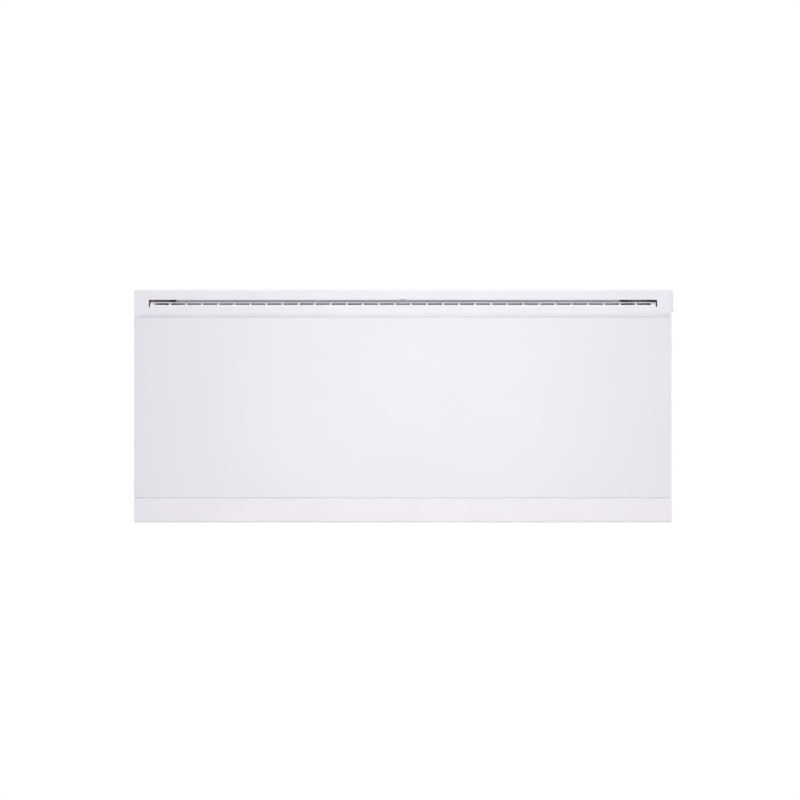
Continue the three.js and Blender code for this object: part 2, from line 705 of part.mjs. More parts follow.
const GLAND_X = RIGHT - GLAND_INSET;

function rearCover() {
  const gap = CASING_SHEET + COVER_EDGE_GAP;
  const outline = rectangle(gap, HEIGHT - gap, gap - RIGHT, RIGHT - gap, CORNER_RADIUS);
  const beads = coverBeads();
  const sheet = join(prismY(outline, COVER_FRONT, BACK), beads.map(({ bump }) => bump));
  const glandRadius = roundHole(GLAND_THREAD + SLIDE, ROUND);
  const gland = rod(glandRadius, COVER_FRONT - PROUD, BACK + PROUD, ROUND, 'y', [GLAND_X, 0, GLAND_HEIGHT]);
  const dents = beads.map(({ dent }) => dent);
  const holes = screwHoles(COVER_FRONT - PROUD, BACK + PROUD);
  return cut(sheet, dents, holes, hookSlots(), latchSlots(), gland);
}

function coverScrews() {
  const seat = BACK + FIT;
  const shoulder = SCREW_HEAD_HEIGHT * SCREW_SHOULDER;
  const profile = [
    [0, seat - SCREW_LENGTH],
    [SCREW_RADIUS / 2, seat - SCREW_LENGTH],
    [SCREW_RADIUS, seat - SCREW_LENGTH + SCREW_RADIUS],
    [SCREW_RADIUS, seat],
    [SCREW_HEAD_RADIUS, seat],
    [SCREW_HEAD_RADIUS, seat + shoulder],
    [SCREW_HEAD_RADIUS * SCREW_CROWN, seat + SCREW_HEAD_HEIGHT],
    [0, seat + SCREW_HEAD_HEIGHT],
  ];
  screwPlaces().forEach(([x, z], i) => {
    add(`rear_cover_screw_${i + 1}`, turned(profile, SMALL_ROUND, 'y', [x, 0, z]), SCREW_STEEL);
  });
}

// ---- Wall bracket

// One flange of an upright, seen from the side: a plain strip that ends below in an open hook.
function uprightFlange() {
  const face = BACK + FIT;
  const under = LIP - FIT;
  const notchBack = BACK + HOOK_RELIEF;
  const notchFront = COVER_FRONT - FIT - HOOK_TAPER;
  const tipTop = PIVOT_HEIGHT + HOOK_LIFT;
  const swing = COVER_SHEET / 2 / Math.cos(TILT) + HOOK_LIFT * Math.tan(TILT);
  const tipBack = COVER_MIDDLE - swing - HOOK_CLEARANCE;
  return rounded([
    [0, under - HOOK_BASE],
    [tipBack - HOOK_TIP, under - HOOK_BASE, HOOK_BASE],
    [tipBack - HOOK_TIP, tipTop, HOOK_CORNER],
    [tipBack, tipTop, HOOK_CORNER],
    [notchFront, under],
    [notchBack, under],
    [notchBack, PIVOT_HEIGHT + HOOK_RELIEF],
    [face, PIVOT_HEIGHT + 2 * HOOK_RELIEF],
    [face, UPRIGHT_TOP, UPRIGHT_CORNER],
    [0, UPRIGHT_TOP],
  ]);
}

function upright(x) {
  const foot = LIP - FIT - HOOK_BASE;
  const web = box(span(x, UPRIGHT_WIDTH), [-BRACKET_SHEET, 0], [foot, UPRIGHT_TOP]);
  const flanges = [-FLANGE_X, FLANGE_X].map((offset) => {
    const [x0, x1] = span(x + offset, BRACKET_SHEET);
    return prismX(uprightFlange(), x0, x1, 3);
  });
  return join(web, flanges);
}

function rail(middle) {
  const [low, high] = span(middle, RAIL_HEIGHT - BRACKET_SHEET);
  const web = -BRACKET_SHEET / 2;
  const line = [[-RAIL_LIP, low], [web, low], [web, high], [-RAIL_LIP, high]];
  const reach = UPRIGHT_X - UPRIGHT_WIDTH / 2 + BRACKET_SHEET / 2;
  return prismX(strip(line, BRACKET_SHEET, BRACKET_SHEET), -reach, reach);
}

function keyhole(x, z) {
  const sheet = [-BRACKET_SHEET - PROUD, PROUD];
  const head = rod(KEYHOLE_HEAD_RADIUS, ...sheet, ROUND, 'y', [x, 0, z - KEYHOLE_DROP / 2]);
  const neck = box(span(x, KEYHOLE_NECK), sheet, [z - KEYHOLE_DROP / 2, z + KEYHOLE_DROP]);
  return join(head, neck);
}

function rivetPlace(x) {
  return [x, 0, LATCH_HEIGHT - LATCH_FOOT / 2];
}

function wallBracket() {
  const frame = join(upright(-UPRIGHT_X), upright(UPRIGHT_X), rail(UPPER_RAIL), rail(LOWER_RAIL));
  const screws = [LOWER_RAIL, UPPER_RAIL].flatMap((z) => span(0, KEYHOLE_SPACING).map((x) => keyhole(x, z)));
  const radius = roundHole(RIVET_RADIUS + SLIDE, SMALL_ROUND);
  const rivets = [-UPRIGHT_X, UPRIGHT_X].map((x) => {
    return rod(radius, -BRACKET_SHEET - PROUD, PROUD, SMALL_ROUND, 'y', rivetPlace(x));
  });
  return cut(frame, screws, rivets);
}

function latchSpring(x) {
  const foot = -BRACKET_SHEET - FIT - LATCH_SHEET / 2;
  const barb = COVER_FRONT - LATCH_REACH;
  const line = [
    [foot, LATCH_HEIGHT - LATCH_FOOT],
    [foot, LATCH_HEIGHT],
    [barb, LATCH_HEIGHT - LATCH_SHEET / 2],
    [barb, LATCH_HEIGHT + LATCH_BARB],
    [barb - LATCH_NOSE, LATCH_HEIGHT - LATCH_BARB / 2],
  ];
  const [x0, x1] = span(x, LATCH_WIDTH);
  const blade = prismX(strip(line, LATCH_SHEET, LATCH_SHEET), x0, x1);
  const radius = roundHole(RIVET_RADIUS + SLIDE, SMALL_ROUND);
  const hole = rod(radius, foot - 2 * PROUD, foot + 2 * PROUD, SMALL_ROUND, 'y', rivetPlace(x));
  return cut(blade, hole);
}

function latchRivet(x) {
  const face = -BRACKET_SHEET - LATCH_SHEET - 2 * FIT;
  const head = face - RIVET_HEAD_HEIGHT;
  const profile = [
    [0, head],
    [RIVET_HEAD_RADIUS * SCREW_CROWN, head],
    [RIVET_HEAD_RADIUS, face],
    [RIVET_RADIUS, face],
    [RIVET_RADIUS, 0],
    [0, 0],
  ];
  return turned(profile, SMALL_ROUND, 'y', rivetPlace(x));
}

function addBracket() {
  add('wall_bracket', wallBracket(), ZINC);
  [['left', -UPRIGHT_X], ['right', UPRIGHT_X]].forEach(([side, x]) => {
    add(`latch_spring_${side}`, latchSpring(x), SPRING_STEEL);
    add(`latch_rivet_${side}`, latchRivet(x), SCREW_STEEL);
  });
}

// ---- Heating element

const LEG_Z = span(ELEMENT_HEIGHT, SHEATH_SPACING);
const BEND_X = -RIGHT + ELEMENT_END + SHEATH_SPACING / 2;
const SHEATH_END = PARTITION + BUSHING_RIM_THICKNESS + SHEATH_PAST_BUSHING;
const FINS_X = [BEND_X + FIN_END, PARTITION - FIN_END];

// The hairpin's middle line: one straight step, a half circle in even steps and one straight step back.
class Hairpin extends THREE.Curve {
  getPoint(t, target = new THREE.Vector3()) {
    const step = t * HAIRPIN_STEPS;
    const turn = THREE.MathUtils.clamp((step - 1) / (HAIRPIN_STEPS - 2), 0, 1);
    const along = Math.max(1 - step, step - HAIRPIN_STEPS + 1, 0);
    const angle = Math.PI * (turn + 0.5);
    const radius = SHEATH_SPACING / 2;
    const x = BEND_X + radius * Math.cos(angle) + along * (SHEATH_END - BEND_X);
    return target.set(x, ELEMENT_Y, ELEMENT_HEIGHT + radius * Math.sin(angle));
  }

  getUtoTmapping(u) {
    return u;
  }
}

function circle(radius, sides) {
  return new THREE.Shape(repeat(sides, (i) => {
    return new THREE.Vector2(radius, 0).rotateAround(new THREE.Vector2(), (2 * Math.PI * i) / sides);
  }));
}

function tube(curve, radius, sides, steps) {
  const options = { steps, bevelEnabled: false, extrudePath: curve };
  return solid(new THREE.ExtrudeGeometry(circle(radius, sides), options));
}

function elementSheath() {
  return tube(new Hairpin(), SHEATH_RADIUS, ROUND, HAIRPIN_STEPS);
}

function elementFins() {
  const bore = roundHole(SHEATH_RADIUS + FIT, SMALL_ROUND);
  const count = Math.floor((FINS_X[1] - FINS_X[0] - FIN_SHEET) / FIN_PITCH) + 1;
  const last = FINS_X[0] + (count - 1) * FIN_PITCH + FIN_SHEET;
  const plates = repeat(count, (i) => {
    const x = FINS_X[0] + i * FIN_PITCH;
    return box([x, x + FIN_SHEET], span(ELEMENT_Y, FIN_DEPTH), span(ELEMENT_HEIGHT, FIN_HEIGHT));
  });
  const along = (radius, x0, x1) => LEG_Z.map((z) => {
    return rod(radius, x0, x1, SMALL_ROUND, 'x', [0, ELEMENT_Y, z]);
  });
  const collars = along(bore + COLLAR_WALL, FINS_X[0], last);
  return cut(join(plates, collars), along(bore, FINS_X[0] - PROUD, last + PROUD));
}

// A plate on the left with a foot that stands on the casing's floor and holes for both legs.
function elementBracket() {
  const x = BEND_X + ELEMENT_BRACKET_FROM_BEND;
  const sheet = [x, x + ELEMENT_BRACKET_SHEET];
  const foot = CASING_SHEET + FIT;
  const top = ELEMENT_HEIGHT + FIN_HEIGHT / 2;
  const across = span(ELEMENT_Y, FIN_DEPTH);
  const plate = prismX(rectangle(...across, foot, top, ELEMENT_BRACKET_CORNER), ...sheet, 2);
  const base = box(
    [x - ELEMENT_BRACKET_FOOT, x + ELEMENT_BRACKET_SHEET / 2],
    grow(across, -ELEMENT_BRACKET_INSET),
    [foot, foot + ELEMENT_BRACKET_SHEET],
  );
  const radius = roundHole(SHEATH_RADIUS + FIT, SMALL_ROUND);
  const deep = grow(sheet, PROUD);
  const holes = LEG_Z.map((z) => rod(radius, ...deep, SMALL_ROUND, 'x', [0, ELEMENT_Y, z]));
  return cut(join(plate, base), holes);
}

function bushing(z) {
  const bore = roundHole(SHEATH_RADIUS + FIT, SMALL_ROUND);
  const rim = BUSHING_OUTER + BUSHING_RIM;
  const left = PARTITION - PARTITION_SHEET - FIT;
  const right = PARTITION + FIT;
  const profile = [
    [bore, left - BUSHING_RIM_THICKNESS],
    [rim, left - BUSHING_RIM_THICKNESS],
    [rim, left],
    [BUSHING_OUTER, left],
    [BUSHING_OUTER, right],
    [rim, right],
    [rim, right + BUSHING_RIM_THICKNESS],
    [bore, right + BUSHING_RIM_THICKNESS],
    [bore, left - BUSHING_RIM_THICKNESS],
  ];
  return turned(profile, SMALL_ROUND, 'x', [0, ELEMENT_Y, z]);
}

function elementTerminal(z) {
  const bead = SHEATH_END + FIT;
  const end = bead + TERMINAL_LENGTH;
  const profile = [
    [0, bead],
    [TERMINAL_RADIUS, bead],
    [TERMINAL_RADIUS, end - TERMINAL_CONE],
    [TERMINAL_RADIUS - TERMINAL_CONE + FIT, end],
    [TERMINAL_PIN_RADIUS, end],
    [TERMINAL_PIN_RADIUS, end + TERMINAL_PIN],
    [0, end + TERMINAL_PIN],
  ];
  return turned(profile, SMALL_ROUND, 'x', [0, ELEMENT_Y, z]);
}

function addElement() {
  add('element_sheath', elementSheath(), SHEATH);
  add('element_fins', elementFins(), ALUMINIUM);
  add('element_bracket', elementBracket(), ZINC);
  [['lower', LEG_Z[0]], ['upper', LEG_Z[1]]].forEach(([name, z]) => {
    add(`element_bushing_${name}`, bushing(z), CERAMIC);
    add(`element_terminal_${name}`, elementTerminal(z), CERAMIC);
  });
}

// ---- Inner sheets

function heatShield() {
  const flat = INNER_FLOOR + FIT + SHIELD_SHEET / 2;
  const raised = flat + SHIELD_STAND_OFF;
  const line = [
    [flat, SHIELD_BOTTOM],
    [flat, SHIELD_BOTTOM + SHIELD_FLANGE],
    [raised, SHIELD_BOTTOM + SHIELD_FLANGE + SHIELD_STAND_OFF],
    [raised, SHIELD_TOP - SHIELD_FLANGE - SHIELD_STAND_OFF],
    [flat, SHIELD_TOP - SHIELD_FLANGE],
    [flat, SHIELD_TOP],
  ];
  const left = -RIGHT + SHIELD_END;
  return prismX(strip(line, SHIELD_SHEET, SHIELD_BEND), left, PARTITION - PARTITION_SHEET - FIT);
}

// A scoop from the rear cover over the chamber, steep behind the outlet and folded to the front above it.
function airGuide() {
  const rear = COVER_FRONT - FIT - GUIDE_SHEET / 2;
  const high = OUTLET_TOP + GUIDE_CLEARANCE + GUIDE_SHEET;
  const steep = FRONT + GUIDE_FROM_FRONT;
  const line = [
    [rear, GUIDE_FOOT],
    [rear, GUIDE_FOOT + GUIDE_RISE],
    [steep + GUIDE_LEAN, OUTLET_BOTTOM - GUIDE_DROP],
    [steep, high],
    [FRONT + CASING_SHEET + FIT, high],
  ];
  const sheet = prismX(strip(line, GUIDE_SHEET, GUIDE_BEND), GUIDE_LEFT - RIGHT, PARTITION - GUIDE_RIGHT);
  const deep = [COVER_FRONT - LATCH_REACH - LATCH_NOSE - GUIDE_SHEET, COVER_FRONT];
  const tall = span(LATCH_HEIGHT, 2 * LATCH_NOSE);
  const wide = LATCH_WIDTH + 2 * GUIDE_WINDOW_SIDE;
  const windows = [-UPRIGHT_X, UPRIGHT_X].map((x) => box(span(x, wide), deep, tall));
  return cut(sheet, windows);
}

function partitionWall() {
  const sheet = [PARTITION - PARTITION_SHEET, PARTITION];
  const front = INNER_FLOOR + FIT;
  const rear = FLANGE_FRONT - FIT;
  const low = CASING_SHEET + FIT;
  const plate = box(sheet, [front, rear], [low, PARTITION_TOP]);
  const wide = [PARTITION - PARTITION_SHEET / 2, PARTITION + PARTITION_FLANGE];
  const foot = box(wide, [front, rear], [low, low + PARTITION_SHEET]);
  const mast = box(wide, [rear - PARTITION_SHEET, rear], [low, PARTITION_TOP]);
  const across = [PARTITION - 2 * PROUD, PARTITION + PROUD];
  const bushingRadius = roundHole(BUSHING_OUTER + FIT, ROUND);
  const bushings = LEG_Z.map((z) => rod(bushingRadius, ...across, ROUND, 'x', [0, ELEMENT_Y, z]));
  const capRadius = roundHole(CUTOUT_CAP_RADIUS + FIT, ROUND);
  const cap = rod(capRadius, ...across, ROUND, 'x', [0, ELEMENT_Y, CUTOUT_HEIGHT]);
  return cut(join(plate, foot, mast), bushings, cap);
}

function overheatCutout() {
  const at = [0, ELEMENT_Y, CUTOUT_HEIGHT];
  const seat = PARTITION + FIT;
  const flangeY = span(ELEMENT_Y, CUTOUT_FLANGE);
  const flangeZ = span(CUTOUT_HEIGHT, 2 * CUTOUT_RADIUS);
  const outline = rectangle(...flangeY, ...flangeZ, CUTOUT_FLANGE_CORNER);
  const flange = prismX(outline, seat, seat + CUTOUT_FLANGE_SHEET, 2);
  const body = rod(CUTOUT_RADIUS, seat, seat + CUTOUT_DEPTH, ROUND, 'x', at);
  const tip = PARTITION - PARTITION_SHEET - CUTOUT_CAP_REACH;
  const cap = rod(CUTOUT_CAP_RADIUS, tip, seat + CUTOUT_FLANGE_SHEET, ROUND, 'x', at);
  const tabs = span(ELEMENT_Y, CUTOUT_RADIUS).map((y) => {
    const x0 = seat + CUTOUT_DEPTH - PROUD;
    return box([x0, x0 + TAB_LENGTH], span(y, TAB_THICKNESS), span(CUTOUT_HEIGHT, TAB_WIDTH));
  });
  return join(flange, body, cap, tabs);
}

// ---- Control unit

const BEZEL_X = [RIGHT + FIT, RIGHT + BEZEL_PROUD];
const HOUSING_X = [RIGHT - HOUSING_DEPTH, RIGHT];
const HOUSING_ROOM_Y = grow(HOUSING_Y, -HOUSING_WALL);
const HOUSING_ROOM_Z = grow(HOUSING_Z, -HOUSING_WALL);
const BOARD_FRONT = RIGHT - BOARD_FROM_WALL; // the face that carries the keys and the display
const BOARD_BACK = BOARD_FRONT - BOARD_THICKNESS;
const CONTROL_Z = (CONTROL_LOW + CONTROL_TOP) / 2;
const WINDOW_FRONT = HOUSING_ROOM_Y[0] + 2 * FIT;
const WINDOW_Y = [WINDOW_FRONT, WINDOW_FRONT + WINDOW_LENGTH];
const WINDOW_Z = span(CONTROL_Z, WINDOW_HEIGHT);
const BUTTONS = ['button_down', 'button_ok', 'button_up'];
const PORT_X = BOARD_BACK - FIT - LEAD_RADIUS;

function buttonY(i) {
  return HOUSING_ROOM_Y[1] - PROUD - BUTTON_PITCH * (BUTTONS.length - 0.5 - i);
}

function portY(i) {
  return HOUSING_ROOM_Y[0] + PORT_PLACES[i];
}

function controlHousing() {
  const shell = box(HOUSING_X, HOUSING_Y, HOUSING_Z);
  const room = box([HOUSING_X[0] + HOUSING_WALL, RIGHT + PROUD], HOUSING_ROOM_Y, HOUSING_ROOM_Z);
  const ledgeX = [HOUSING_X[0] + HOUSING_WALL / 2, BOARD_BACK - FIT];
  const ledges = HOUSING_ROOM_Y.map((y) => box(ledgeX, span(y, 2 * HOUSING_WALL), HOUSING_Z));
  const portRadius = roundHole(LEAD_RADIUS + FIT, SMALL_ROUND);
  const floor = [HOUSING_Z[0] - PROUD, HOUSING_ROOM_Z[0] + PROUD];
  const ports = PORT_PLACES.map((_, i) => rod(portRadius, ...floor, SMALL_ROUND, 'z', [PORT_X, portY(i), 0]));
  const kept = ledges.map((ledge) => ledge.intersect(shell));
  return cut(join(cut(shell, room), kept), ports);
}

function controlBoard() {
  const sides = [grow(HOUSING_ROOM_Y, -BOARD_GAP), grow(HOUSING_ROOM_Z, -BOARD_GAP)];
  const board = box([BOARD_BACK, BOARD_FRONT], ...sides);
  const keys = BUTTONS.map((_, i) => {
    const at = [0, buttonY(i), CONTROL_Z];
    const square = [span(at[1], TACT_SIZE), span(CONTROL_Z, TACT_SIZE)];
    const base = box([BOARD_BACK, BOARD_FRONT + TACT_CASE], ...square);
    return [base, rod(TACT_RADIUS, BOARD_BACK, BOARD_FRONT + TACT_HEIGHT, SMALL_ROUND, 'x', at)];
  });
  return join(board, keys.flat());
}

function powerRelay() {
  const x = [BOARD_BACK - FIT - RELAY_HEIGHT, BOARD_BACK - FIT];
  const middle = (HOUSING_Y[0] + HOUSING_Y[1]) / 2;
  const outline = rectangle(...span(middle, RELAY_LENGTH), ...span(CONTROL_Z, RELAY_WIDTH), SMALL_CORNER);
  return prismX(outline, ...x, 2);
}

function displayModule() {
  const y = grow(WINDOW_Y, -WINDOW_LEDGE);
  const z = grow(WINDOW_Z, -WINDOW_LEDGE / 2);
  const front = BOARD_FRONT + FIT + DISPLAY_THICKNESS;
  const body = box([BOARD_FRONT + FIT, front], y, z);
  const face = box([front - DISPLAY_SUNK, front + PROUD], grow(y, -DISPLAY_RIM), grow(z, -DISPLAY_RIM));
  return cut(body, face);
}

function displayWindow() {
  const x = [BEZEL_X[1] - WINDOW_THICKNESS, BEZEL_X[1]];
  return prismX(rectangle(...grow(WINDOW_Y, -FIT), ...grow(WINDOW_Z, -FIT), SMALL_CORNER), ...x, 2);
}

function controlBezel() {
  const plate = prismX(rectangle(...CONTROL_Y, CONTROL_LOW, CONTROL_TOP, BEZEL_CORNER), ...BEZEL_X, 3);
  const recessX = [BEZEL_X[1] - WINDOW_THICKNESS - FIT, BEZEL_X[1] + PROUD];
  const recess = prismX(rectangle(...WINDOW_Y, ...WINDOW_Z, SMALL_CORNER), ...recessX, 2);
  const through = [BEZEL_X[0] - PROUD, BEZEL_X[1] + PROUD];
  const view = box(through, grow(WINDOW_Y, -WINDOW_LEDGE), grow(WINDOW_Z, -WINDOW_LEDGE));
  const radius = roundHole(BUTTON_RADIUS + SLIDE, ROUND);
  const holes = BUTTONS.map((_, i) => rod(radius, ...through, ROUND, 'x', [0, buttonY(i), CONTROL_Z]));
  return cut(plate, recess, view, holes);
}

function button(i) {
  const flange = BEZEL_X[0] - FIT;
  const tip = BOARD_FRONT + TACT_HEIGHT + BUTTON_TRAVEL + FIT;
  const top = BEZEL_X[1] + BUTTON_PROUD;
  const profile = [
    [0, tip],
    [BUTTON_STEM, tip],
    [BUTTON_STEM, flange - BUTTON_FLANGE],
    [BUTTON_RADIUS + SLIDE + BUTTON_RIM, flange - BUTTON_FLANGE],
    [BUTTON_RADIUS + SLIDE + BUTTON_RIM, flange],
    [BUTTON_RADIUS, flange],
    [BUTTON_RADIUS, top - BUTTON_EDGE],
    [BUTTON_RADIUS - BUTTON_EDGE, top],
    [0, top - BUTTON_DISH],
  ];
  return turned(profile, ROUND, 'x', [0, buttonY(i), CONTROL_Z]);
}

function addControls() {
  add('control_housing', controlHousing(), BLACK_PLASTIC);
  add('control_board', controlBoard(), BOARD_GREEN);
  add('power_relay', powerRelay(), BLACK_PLASTIC);
  add('display_module', displayModule(), BLACK_PLASTIC);
  add('display_window', displayWindow(), DARK_WINDOW);
  add('control_bezel', controlBezel(), WHITE_PLASTIC);
  BUTTONS.forEach((name, i) => add(name, button(i), WHITE_PLASTIC));
}

// ---- Mains switch

const SWITCH_BODY_Y = span(SWITCH_Y, SWITCH_BODY_WIDTH);
const SWITCH_BODY_Z = span(SWITCH_HEIGHT, SWITCH_BODY_LENGTH);
const SWITCH_FACE = RIGHT + FIT + SWITCH_RIM_THICKNESS;
const ROCKER_PIVOT = RIGHT + FIT - ROCKER_SUNK;
const SWITCH_BACK = RIGHT - SWITCH_BODY_DEPTH;
const TAB_SPACING = SWITCH_BODY_LENGTH / 2;

function switchBody() {
  const body = box([SWITCH_BACK, SWITCH_FACE - SWITCH_RIM_THICKNESS / 2], SWITCH_BODY_Y, SWITCH_BODY_Z);
  const rimSides = [...grow(SWITCH_BODY_Y, SWITCH_RIM), ...grow(SWITCH_BODY_Z, SWITCH_RIM)];
  const rim = prismX(rectangle(...rimSides, SWITCH_RIM_CORNER), RIGHT + FIT, SWITCH_FACE, 2);
  const wellX = [SWITCH_FACE - SWITCH_WELL_DEPTH, SWITCH_FACE + PROUD];
  const well = box(wellX, grow(SWITCH_BODY_Y, -SWITCH_WALL), grow(SWITCH_BODY_Z, -SWITCH_WALL));
  const pinRadius = roundHole(ROCKER_PIN + SLIDE, SMALL_ROUND);
  const pinY = grow(SWITCH_BODY_Y, ROCKER_PIN_REACH + FIT - SWITCH_WALL);
  const pins = rod(pinRadius, ...pinY, SMALL_ROUND, 'y', [ROCKER_PIVOT, 0, SWITCH_HEIGHT]);
  const tabs = span(SWITCH_HEIGHT, TAB_SPACING).map((z) => {
    const reach = [SWITCH_BACK - TAB_LENGTH, SWITCH_BACK + PROUD];
    return box(reach, span(SWITCH_Y, TAB_THICKNESS), span(z, TAB_WIDTH));
  });
  return join(cut(join(body, rim), well, pins), tabs);
}

// The rocker's side view about its pivot as [out of the wall, up], level, before it is tipped to off.
function rockerSide() {
  const half = SWITCH_BODY_LENGTH / 2 - SWITCH_WALL - 2 * ROCKER_CLEARANCE;
  const end = ROCKER_RISE + ROCKER_DISH;
  return [
    [ROCKER_RISE, 0],
    [end, half],
    [-ROCKER_PIN / 2, half],
    [-ROCKER_KEEL, half / 3],
    [-ROCKER_KEEL, -half / 3],
    [-ROCKER_PIN / 2, -half],
    [end, -half],
  ];
}

function powerRocker() {
  const tip = (ROCKER_THROW / 2) * DEGREE;
  const pivot = new THREE.Vector2(SWITCH_HEIGHT, ROCKER_PIVOT);
  const corners = rockerSide().map(([out, up]) => {
    return new THREE.Vector2(up, out).add(pivot).rotateAround(pivot, tip);
  });
  const paddle = prismY(new THREE.Shape(corners), ...grow(SWITCH_BODY_Y, -SWITCH_WALL - ROCKER_CLEARANCE));
  const pinY = grow(SWITCH_BODY_Y, ROCKER_PIN_REACH - SWITCH_WALL);
  const pin = rod(ROCKER_PIN, ...pinY, SMALL_ROUND, 'y', [ROCKER_PIVOT, 0, SWITCH_HEIGHT]);
  return join(paddle, pin);
}

// ---- Wiring bay

function cableGland() {
  const inside = COVER_FRONT - GLAND_INSIDE;
  const seat = BACK + FIT;
  const mouth = seat + GLAND_OUTSIDE;
  const profile = [
    [GLAND_BORE, inside],
    [GLAND_THREAD, inside],
    [GLAND_THREAD, seat],
    [GLAND_RADIUS, seat],
    [GLAND_RADIUS, mouth - GLAND_CONE],
    [GLAND_MOUTH_RADIUS, mouth],
    [GLAND_BORE, mouth],
    [GLAND_BORE, inside],
  ];
  return turned(profile, ROUND, 'y', [GLAND_X, 0, GLAND_HEIGHT]);
}

function glandNut() {
  const y = [COVER_FRONT - FIT - GLAND_NUT, COVER_FRONT - FIT];
  const at = [GLAND_X, 0, GLAND_HEIGHT];
  const bore = roundHole(GLAND_THREAD + SLIDE, ROUND);
  return cut(rod(GLAND_NUT_RADIUS, ...y, 6, 'y', at), rod(bore, y[0] - PROUD, y[1] + PROUD, ROUND, 'y', at));
}

const BLOCK_X = [PARTITION + FIT, PARTITION + FIT + BLOCK_DEPTH];
const BLOCK_Z = span(BLOCK_HEIGHT, BLOCK_TALL);
const BLOCK_PITCH = BLOCK_LENGTH / BLOCK_WAYS;
const blockY = (i) => ELEMENT_Y + (i - (BLOCK_WAYS - 1) / 2) * BLOCK_PITCH;

function terminalBlock() {
  const body = box(BLOCK_X, span(ELEMENT_Y, BLOCK_LENGTH), BLOCK_Z);
  const wells = repeat(BLOCK_WAYS, (i) => BLOCK_Z.map((edge) => {
    const z = edge + Math.sign(BLOCK_HEIGHT - edge) * BLOCK_TALL / 4;
    const deep = [BLOCK_X[1] - BLOCK_WELL_DEPTH, BLOCK_X[1] + PROUD];
    return rod(BLOCK_WELL, ...deep, SMALL_ROUND, 'x', [0, blockY(i), z]);
  })).flat();
  const grooves = repeat(BLOCK_WAYS - 1, (i) => {
    const y = (blockY(i) + blockY(i + 1)) / 2;
    const deep = [BLOCK_X[1] - BLOCK_GROOVE_DEPTH, BLOCK_X[1] + PROUD];
    return box(deep, span(y, BLOCK_GROOVE), grow(BLOCK_Z, PROUD));
  });
  return cut(body, wells, grooves);
}

const EARTH_X = RIGHT - EARTH_INSET;
const EARTH_Y = ELEMENT_Y - EARTH_FORWARD;
const FLOOR = CASING_SHEET + FIT; // what stands on the casing's bottom wall starts here

function earthStud() {
  const at = [EARTH_X, EARTH_Y, 0];
  const nut = rod(EARTH_NUT_RADIUS, FLOOR, FLOOR + EARTH_NUT, 6, 'z', at);
  return join(nut, rod(EARTH_RADIUS, FLOOR, FLOOR + EARTH_LENGTH, SMALL_ROUND, 'z', at));
}

const SENSOR_X = RIGHT - SENSOR_INSET;
const SENSOR_Y = span(-SENSOR_FROM_WALL, SENSOR_LENGTH);

function roomSensor() {
  const profile = [
    [0, SENSOR_Y[0]],
    [SENSOR_RADIUS / 2, SENSOR_Y[0]],
    [SENSOR_RADIUS, SENSOR_Y[0] + SENSOR_RADIUS],
    [SENSOR_RADIUS, SENSOR_Y[1]],
    [0, SENSOR_Y[1]],
  ];
  return turned(profile, SMALL_ROUND, 'y', [SENSOR_X, 0, SENSOR_HEIGHT]);
}

function sensorClip() {
  const half = SENSOR_RADIUS + FIT + CLIP_WALL;
  const y = span(-SENSOR_FROM_WALL, CLIP_LENGTH);
  const body = box([SENSOR_X - half, SENSOR_X + half], y, [FLOOR, SENSOR_HEIGHT + half]);
  const deep = grow(y, PROUD);
  const bore = rod(roundHole(SENSOR_RADIUS + FIT, ROUND), ...deep, ROUND, 'y', [SENSOR_X, 0, SENSOR_HEIGHT]);
  const mouth = box(span(SENSOR_X, CLIP_MOUTH), deep, [SENSOR_HEIGHT, SENSOR_HEIGHT + half + PROUD]);
  const gap = box(span(SENSOR_X, 2 * half - 4 * CLIP_WALL), deep, [FLOOR + CLIP_WALL, SENSOR_HEIGHT - half]);
  return cut(body, bore, mouth, gap);
}

function lead(points) {
  const places = points.map((point) => new THREE.Vector3(...point));
  return tube(new THREE.CatmullRomCurve3(places, false, 'centripetal'), LEAD_RADIUS, LEAD_SIDES, LEAD_STEPS);
}

